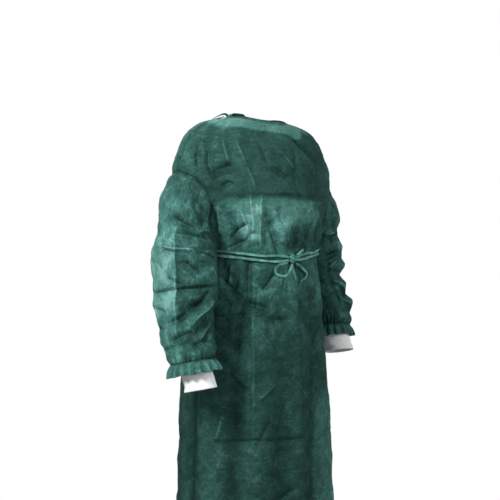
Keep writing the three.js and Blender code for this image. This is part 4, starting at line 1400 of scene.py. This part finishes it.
# %% Sleeve ends
FRILL = {"length": 26, "waves": 18, "gather": 1.1, "mouth": 4.0}
FRILL_FLARE = {"right": 9, "left": 3}
FRILL_TONE = {"right": 0.5, "left": 0.4}
# How far up the sleeve its direction at the gather line is read, in mm
END_LOOK = 40


def end_frame(side):
    """The frame of the gather line's ring, and the way the sleeve points there."""
    length = SLEEVE_LENGTH[side]
    centre, outward, ahead, half_out, half_forward = ring_frame(side, np.array(float(length)))
    before = ring_frame(side, np.array(float(length - END_LOOK)))[0]
    return centre, outward, ahead, float(half_out), float(half_forward), unit(centre - before)


def sleeve_end(side, columns=360, rows=14):
    """Oval rings that flare with 1 - (1 - s)^2 and carry waves that grow from the gather line."""
    centre, outward, ahead, half_out, half_forward, axis = end_frame(side)
    steps_down = np.linspace(0, FRILL["length"], rows)
    down, around = grid(steps_down, round_steps(columns))
    share = down / FRILL["length"]
    swing = around + 4 * np.sin(5 * around * DEGREE + 1)
    wave = np.cos(around * DEGREE * FRILL["waves"] + 0.9 * np.sin(around * DEGREE * 2))
    height = FRILL["gather"] + (FRILL["mouth"] - FRILL["gather"]) * share
    height = height * wave * smooth(0, 0.35, share)
    small = 0.9 * np.cos(swing * DEGREE * 43) * smooth(0.1, 0.6, share)
    pleats = PLEATS["depth"] * pleat_wave(around) * (1 - smooth(0, 0.7, share))
    drawn = 0.8 * np.exp(-((down / 4) ** 2))
    grow = FRILL_FLARE[side] * (1 - (1 - share) ** 2) + height + small + pleats - drawn
    reach = 1.2 * np.cos(swing * DEGREE * 9) * share
    points = (
        centre
        + axis * (down + reach)[..., None]
        + oval(outward, ahead, half_out + grow, half_forward + grow, around)
    )
    values = {
        # Painted light and shade: lighter where a wave stands out, darker where it turns in and at the
        # gather line
        "tone": FRILL_TONE[side] + 0.12 * wave * share - 0.2 * np.exp(-((down / 3) ** 2)),
        "clear": CLEAR["cloth"] + CLEAR["frill"] * share,
        "crush": 0.5,
    }
    map_down, map_round = grid(steps_down, round_steps(columns, 1))
    new_piece(f"sleeve_end_{side}_cloth", points, cloth_grid(map_round, map_down), values,
              gown_green, oval(outward, ahead, 1, 1, around), tube=True)


for side in SIGN:
    sleeve_end(side)

# %% [markdown]
# Knit cuffs are tubes of rib knit sewn in at the gather line. They narrow and turn out a little at the
# end. The ribs could be a bump, but they show on the cuff's edge, so they are ridges along the tube,
# one for each 3 mm of its girth.

# %% Knit cuffs
# Columns: down from the gather line, radius and shift forward, in mm
CUFF_RINGS = np.array([
    [-4, 41.5, 0],
    [4, 40.5, 1],
    [13, 35, 4],
    [24, 31.5, 7],
    [42, 31, 8],
    [60, 32, 9],
], float)
RIBS = {"count": 66, "depth": 0.45, "columns": 6}
KNIT_WALL = 0.0013
KNIT_ENDS = (-4, 60)
KNIT_GIRTH = 200


def knit_cuff(side, rows=44):
    """Rings with radius r + depth cos(ribs around), with soft creases where the knit is pushed up."""
    centre, outward, ahead, _, _, axis = end_frame(side)
    columns = RIBS["count"] * RIBS["columns"]
    steps_down = np.linspace(*KNIT_ENDS, rows)
    down, around = grid(steps_down, round_steps(columns))
    radius, shift = np.moveaxis(curve(CUFF_RINGS, down), -1, 0)
    rib = np.cos(around * DEGREE * RIBS["count"])
    direction = oval(outward, ahead, 1, 1, around)
    rough = centre + direction * radius[..., None] + axis * down[..., None]
    slack = 0.9 * waves(rough * np.array([0.6, 0.6, 2.0]), 30, 401 + len(side)) * smooth(6, 20, down)
    reach = radius + RIBS["depth"] * rib + slack
    points = centre + direction * reach[..., None] + axis * down[..., None] + ahead * shift[..., None]
    map_down, map_round = grid(steps_down, round_steps(columns, 1))
    cloth_map = cloth_grid(map_round * KNIT_GIRTH / 360, map_down)
    new_piece(f"knit_cuff_{side}_cloth", points, cloth_map, {"tone": 0.5 - 0.5 * rib},
              knit_white, direction, tube=True, wall=KNIT_WALL)


for side in SIGN:
    knit_cuff(side)

# %% [markdown]
# The neck is bound with a folded strip, sewn over the panels' top edges, whose ends lap at the nape.
# A thickened edge of the panels would do from afar. A flat oval section carried round the neck shows
# the fold and the small puckers that sewing leaves.

# %% Neck binding
BINDING = {
    "height": 8, "thickness": 2.2, "roll": 1.5, "flatness": 0.7, "length": 450, "girth": 20,
    "rows": 420, "columns": 20,
}


def neck_binding():
    """Section: up = h/2 + h/2 cos f, out = t/2 sin f, both flattened, along the neck's edge."""
    turn, section = grid(
        np.linspace(-90 - LAP["half"], 270 + LAP["half"], BINDING["rows"]),
        round_steps(BINDING["columns"]))
    normal = body_normal(turn, 0 * turn)
    edge = body_base(turn, 0 * turn)
    down = unit(body_base(turn, 0 * turn + 1) - edge)
    cosine = np.cos(section * DEGREE)
    sine = np.sin(section * DEGREE)
    half = BINDING["height"] / 2
    rise = 0.2 + half + half * squarer(cosine, BINDING["flatness"])
    share = rise / BINDING["height"]
    pucker = 0.22 * np.cos(turn * 2.05 + 1.5 * np.sin(turn * 0.31)) * smooth(1.0, 0.2, share)
    stitched = 0.35 * bell(share, 0.28, 0.1)
    thick = BINDING["thickness"] / 2 - stitched + pucker
    lift = lap_lift(turn, LAP["tie"]) + BINDING["roll"] * share**2
    out = lift + thick * squarer(sine, BINDING["flatness"])
    points = edge - down * rise[..., None] + normal * out[..., None]
    away = -down * cosine[..., None] + normal * sine[..., None]
    tone = 0.26 + 0.06 * waves(points, 16, 61) + 0.3 * bell(share, 0.26, 0.07)
    cloth_map = cloth_grid(*grid(
        np.linspace(0, BINDING["length"], BINDING["rows"]),
        np.linspace(0, BINDING["girth"], BINDING["columns"] + 1)))
    new_piece("neck_binding_cloth", points, cloth_map, {"tone": tone, "clear": 0},
              binding_green, away, tube=True, capped=True, wall=None)


neck_binding()

# %% [markdown]
# The tie is one long narrow strip of the same cloth, folded and sewn. It is wound twice round the
# waist, so it shows as two strands, and is tied in a small bow in front. A round cord would be easier
# but looks wrong, so one helper carries a flat rounded section along a line, with its flat side facing
# out. A slow roll keeps it from looking stiff.

# %% Strips
STRIP = {"width": 5.4, "thickness": 1.9, "flatness": 0.6, "columns": 14}
STITCH = {"place": 0.62, "half": 0.14, "deep": 0.3, "darker": 0.2}


def line_through(places, count):
    """A smooth line through places: cubics whose slopes are the places' gradients, read evenly."""
    gone = gone_along(places)
    slopes = np.gradient(places, gone, axis=0)
    at = np.linspace(0, gone[-1], count)
    row = np.clip(np.searchsorted(gone, at, side="right") - 1, 0, len(gone) - 2)
    gap = np.diff(gone)[row][:, None]
    share = (at - gone[row])[:, None] / gap
    rest = 1 - share
    return (
        (1 + 2 * share) * rest**2 * places[row] + share * rest**2 * gap * slopes[row]
        + share**2 * (3 - 2 * share) * places[row + 1] - share**2 * rest * gap * slopes[row + 1]
    )


def strip(name, line, facing, width, thickness, seed, roll=12):
    """Section: across w/2 cos f, out t/2 sin f, flattened to a band and rolled slowly on its way."""
    along = unit(np.gradient(line, axis=0))
    across = unit(np.cross(along, facing))
    up = np.cross(across, along)
    lean = roll * DEGREE * waves(line, 70, seed, 6)[:, None]
    across, up = across * np.cos(lean) + up * np.sin(lean), up * np.cos(lean) - across * np.sin(lean)
    section = round_steps(STRIP["columns"]) * DEGREE
    cosine = np.cos(section)
    sine = np.sin(section)
    narrow = 1 + 0.1 * waves(line, 24, seed + 1, 6)[:, None]
    stitched = bell(cosine, STITCH["place"], STITCH["half"])
    wide = width / 2 * narrow * squarer(cosine, STRIP["flatness"])
    thick = thickness / 2 * squarer(sine, STRIP["flatness"]) * (1 - STITCH["deep"] * stitched)
    points = (
        line[:, None, :] + across[:, None, :] * wide[..., None] + up[:, None, :] * thick[:, None]
    )
    away = across[:, None, :] * cosine[:, None] + up[:, None, :] * sine[:, None]
    tone = 0.72 + 0.07 * waves(points, 18, seed + 2) - STITCH["darker"] * stitched
    gone = gone_along(line)
    cloth_map = cloth_grid(*grid(gone, np.linspace(0, 2 * width, STRIP["columns"] + 1)))
    print(name, "length, mm:", round(float(gone[-1])))
    new_piece(name, points, cloth_map, {"tone": tone, "clear": 0},
              tie_green, away, tube=True, capped=True, wall=None)


# %% [markdown]
# The two strands lie close together, lower in front than behind. A line that follows every fold of
# the cloth would jump up and down, so each is set off the smooth base form and bridges the hollows.

# %% Waist strands
# Columns: turn, drop of the upper strand, drop of the lower strand
WAIST_TIE = np.array([
    [97, 316, 321.5],
    [99.4, 315, 322.5],
    [109, 313, 325.5],
    [121.5, 312, 322.5],
    [140, 307, 317],
    [157, 302, 312],
    [180, 298, 308],
    [225, 294, 304],
    [270, 292, 302],
    [315, 293, 303],
    [360, 295, 305],
    [405, 299, 308],
    [430, 306, 314.5],
    [451, 314.5, 322],
    [453, 316, 321.5],
], float)
STRAND = {"width": 5.6, "thickness": 2.0, "lift": 2.9}


def waist_strand(name, column, seed):
    """The tie's line on the base form at a lift, raised where the lapped backs lie under it."""
    turn = np.linspace(WAIST_TIE[0, 0], WAIST_TIE[-1, 0], 520)
    drop = curve(WAIST_TIE, turn)[:, column]
    normal = body_normal(turn, drop)
    over = lap_lift(turn, LAP["tie"]) * (1 - smooth(290, 303, turn))
    line = body_base(turn, drop) + normal * (STRAND["lift"] + over)[:, None]
    line[:, 2] += 0.5 * waves(line, 60, seed + 5, 6)
    strip(name, line, normal, STRAND["width"], STRAND["thickness"], seed, roll=9)


waist_strand("waist_tie_upper_cloth", 0, 500)
waist_strand("waist_tie_lower_cloth", 1, 520)

# %% [markdown]
# In front the tie ends in a bow, and a second short tie closes the nape in the same way. Their lines
# could be drawn in space. Given as turn, drop and distance off the cloth, they stay in front of it
# wherever the form goes.

# %% Bow and loose ends
# Each strip's line: turn, drop and distance off the cloth
FRONT_STRIPS = {
    "bow_loop_right": [
        [99.8, 328, 5.5], [104, 330, 7], [108.5, 333, 7], [111, 340, 6], [110.5, 349, 5.5],
        [107, 355.5, 5.5], [102.5, 354, 7], [99.6, 345, 8.5], [97, 332.5, 8.5],
    ],
    "bow_end_left": [
        [92, 329.5, 6], [87.5, 334, 7.5], [82, 343, 7.5], [78.5, 351, 7], [79.5, 358, 6.5],
        [84, 363, 6], [89, 369, 5.5],
    ],
    "tie_end_hanging": [[95, 329, 4], [95.4, 340, 3.8], [95, 350, 3.8], [94, 364, 3.8]],
    "tie_end_short": [[90.9, 312, 8], [88.5, 307, 9.5], [86, 302, 10], [83, 299, 9.5]],
}
NAPE_STRIPS = {
    "neck_tie_loop_right": [
        [263, 10, 5.5], [256, 9, 8.5], [247, 14, 8.5], [243, 21, 7.5], [248, 26, 7.5],
        [256, 23, 9.5], [263.5, 17, 9.5],
    ],
    "neck_tie_loop_left": [
        [277, 10, 5.5], [284, 9, 8.5], [293, 14, 13], [297, 21, 12], [292, 26, 12],
        [284, 23, 9.5], [276.5, 17, 9.5],
    ],
    "neck_tie_end_right": [
        [266.5, 21, 5], [264, 34, 4.5], [262, 60, 4.5], [260, 100, 4.5], [259, 140, 4.5],
    ],
    "neck_tie_end_left": [
        [273.5, 21, 5], [276, 34, 4.5], [277.5, 60, 4.5], [279, 100, 4.5], [278, 150, 4.5],
    ],
}


def loose_strip(name, rows, lapped, seed):
    """The table's places set off the folded form, joined by a smooth line and swept as a strip."""
    turn, drop, off = np.array(rows, float).T
    lift = lap_lift(turn, LAP["tie"]) if lapped else 0 * turn
    places = body_folded(turn, drop, lift) + body_normal(turn, drop) * off[:, None]
    line = line_through(places, 12 * len(rows))
    middle = len(rows) // 2
    facing = body_normal(turn[middle], drop[middle])
    strip(f"{name}_cloth", line, np.broadcast_to(facing, line.shape),
          STRIP["width"], STRIP["thickness"], seed)


for strips, lapped, first_seed in ((FRONT_STRIPS, False, 540), (NAPE_STRIPS, True, 580)):
    for index, (name, rows) in enumerate(strips.items()):
        loose_strip(name, rows, lapped, first_seed + 5 * index)

# %% [markdown]
# A knot is the strip wound over itself. Its wraps could be swept one by one, but at this size a small
# lump with three slanting wraps in its surface reads the same and stays closed.

# %% Knots
KNOTS = {
    "waist_knot": {"turn": 95.2, "drop": 319, "off": 7.2, "halves": (8, 10, 4.6), "lift": 0},
    "neck_tie_knot": {"turn": 270, "drop": 13, "off": 6.6, "halves": (8, 9, 4.6), "lift": 5},
}
KNOT_GRID = {"rows": 40, "columns": 64, "squareness": 0.86}


def knot(name, size):
    """An ellipsoid a little squarer than a ball, times 0.94 + 0.075 cos(slanting height), so that
    its surface shows the wraps."""
    turn = np.array(size["turn"], float)
    drop = np.array(size["drop"], float)
    normal = body_normal(turn, drop)
    across = unit(np.cross([0, 0, 1], normal))
    up = np.cross(normal, across)
    centre = body_folded(turn, drop, np.array(float(size["lift"]))) + normal * size["off"]
    level, around = grid(np.linspace(3, 177, KNOT_GRID["rows"]), round_steps(KNOT_GRID["columns"]))
    level = level * DEGREE
    around = around * DEGREE
    ball = np.stack([np.sin(level) * np.cos(around), np.cos(level), np.sin(level) * np.sin(around)], -1)
    wraps = np.cos(2.1 * (ball[..., 1] * 3.4 + ball[..., 0] * 1.6) + 0.6)
    wound = 0.94 + 0.075 * wraps * np.sin(level)
    shape = squarer(ball, KNOT_GRID["squareness"]) * wound[..., None] * size["halves"]
    ways = np.stack([across, up, normal])
    cloth_map = cloth_grid(*grid(
        np.linspace(0, 20, KNOT_GRID["rows"]),
        np.linspace(0, 40, KNOT_GRID["columns"] + 1))[::-1])
    # The tone follows the wraps: painted light on their raised parts and painted shade in the grooves
    # between them.
    new_piece(f"{name}_cloth", centre + shape @ ways, cloth_map,
              {"tone": 0.58 + 0.16 * wraps, "clear": 0},
              tie_green, ball @ ways, tube=True, capped=True, wall=None)


for name, size in KNOTS.items():
    knot(name, size)

# %% [markdown]
# Every new piece stands for the solid of its name, whose own solid is hidden. The table gives each
# piece's slot, the size it was cut to, how it is held and what it rests on. Flat sizes are in metres.

# %% Cuts
# Columns: solid's name, slot, cut width, cut length, cut area, held, what it rests on
CUTS = [
    ["front_panel", "spunbond_green", 0.62, 1.17, 0.62, "hung", "neck_binding"],
    ["back_panel_right", "spunbond_green", 0.38, 1.17, 0.38, "hung", "neck_binding"],
    ["back_panel_left", "spunbond_green", 0.38, 1.17, 0.38, "hung", "neck_binding"],
    ["sleeve_right", "spunbond_green", 0.44, 0.37, 0.142, "hung", "front_panel"],
    ["sleeve_left", "spunbond_green", 0.42, 0.34, 0.126, "hung", "front_panel"],
    ["sleeve_end_right", "spunbond_green", 0.42, 0.030, 0.0105, "gathered", "sleeve_right"],
    ["sleeve_end_left", "spunbond_green", 0.40, 0.030, 0.0095, "gathered", "sleeve_left"],
    ["knit_cuff_right", "knit_white", 0.25, 0.066, 0.0160, "stretched", "sleeve_right"],
    ["knit_cuff_left", "knit_white", 0.25, 0.066, 0.0160, "stretched", "sleeve_left"],
    ["neck_binding", "binding_green", 0.020, 0.46, 0.0042, "folded", "front_panel"],
    ["waist_tie_upper", "tie_green", 0.016, 0.92, 0.0068, "laid", "front_panel"],
    ["waist_tie_lower", "tie_green", 0.016, 0.92, 0.0068, "laid", "front_panel"],
    ["bow_loop_right", "tie_green", 0.014, 0.10, 0.00060, "folded", "waist_knot"],
    ["bow_end_left", "tie_green", 0.014, 0.075, 0.00046, "folded", "waist_knot"],
    ["tie_end_hanging", "tie_green", 0.014, 0.036, 0.00021, "hung", "waist_knot"],
    ["tie_end_short", "tie_green", 0.014, 0.026, 0.00015, "hung", "waist_knot"],
    ["neck_tie_loop_right", "tie_green", 0.014, 0.085, 0.00051, "folded", "neck_tie_knot"],
    ["neck_tie_loop_left", "tie_green", 0.014, 0.085, 0.00051, "folded", "neck_tie_knot"],
    ["neck_tie_end_right", "tie_green", 0.014, 0.125, 0.00072, "hung", "neck_tie_knot"],
    ["neck_tie_end_left", "tie_green", 0.014, 0.135, 0.00078, "hung", "neck_tie_knot"],
]

for node, slot, width, length, area, held, rests_on in CUTS:
    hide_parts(node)
for node in KNOTS:
    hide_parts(node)
print("solids dressed:", len(CUTS) + len(KNOTS), "of", len(frame["nodes"]))

# %% [markdown]
# The floor lies well below the hem. A floor that runs on to the horizon would draw a line across the
# page, so it is a pale disc that fades out at its rim. It is no part of the gown.

# %% Floor
FLOOR = {"z": -1.46, "radius": 1.9, "corners": 96, "fade_from": 0.5, "fade_over": 1.35}
PALE = (0.86, 0.86, 0.86, 1)
round_floor = round_steps(FLOOR["corners"]) * DEGREE
rim = np.stack([np.cos(round_floor), np.sin(round_floor), 0 * round_floor], axis=-1) * FLOOR["radius"]
rim[:, 2] = FLOOR["z"]
floor_mesh = bpy.data.meshes.new("floor")
floor_mesh.from_pydata(rim.tolist(), [], [list(range(FLOOR["corners"]))])
floor = bpy.data.objects.new("floor", floor_mesh)
bpy.context.scene.collection.objects.link(floor)
floor_finish = Finish("floor_pale")
spot = floor_finish.node("ShaderNodeTexCoord", None, None, output=3)
far = floor_finish.node("ShaderNodeVectorMath", {"operation": "LENGTH"}, {0: spot}, output=1)
fade = floor_finish.clamped((far - FLOOR["fade_from"]) * (1 / FLOOR["fade_over"]))
pale = floor_finish.node("ShaderNodeBsdfPrincipled", None, {"Base Color": PALE, "Roughness": 0.9})
gone = floor_finish.node("ShaderNodeBsdfTransparent")
floor_mesh.materials.append(floor_finish.done(
    floor_finish.node("ShaderNodeMixShader", None, {0: fade, 1: pale, 2: gone})))
print("floor at", FLOOR["z"])
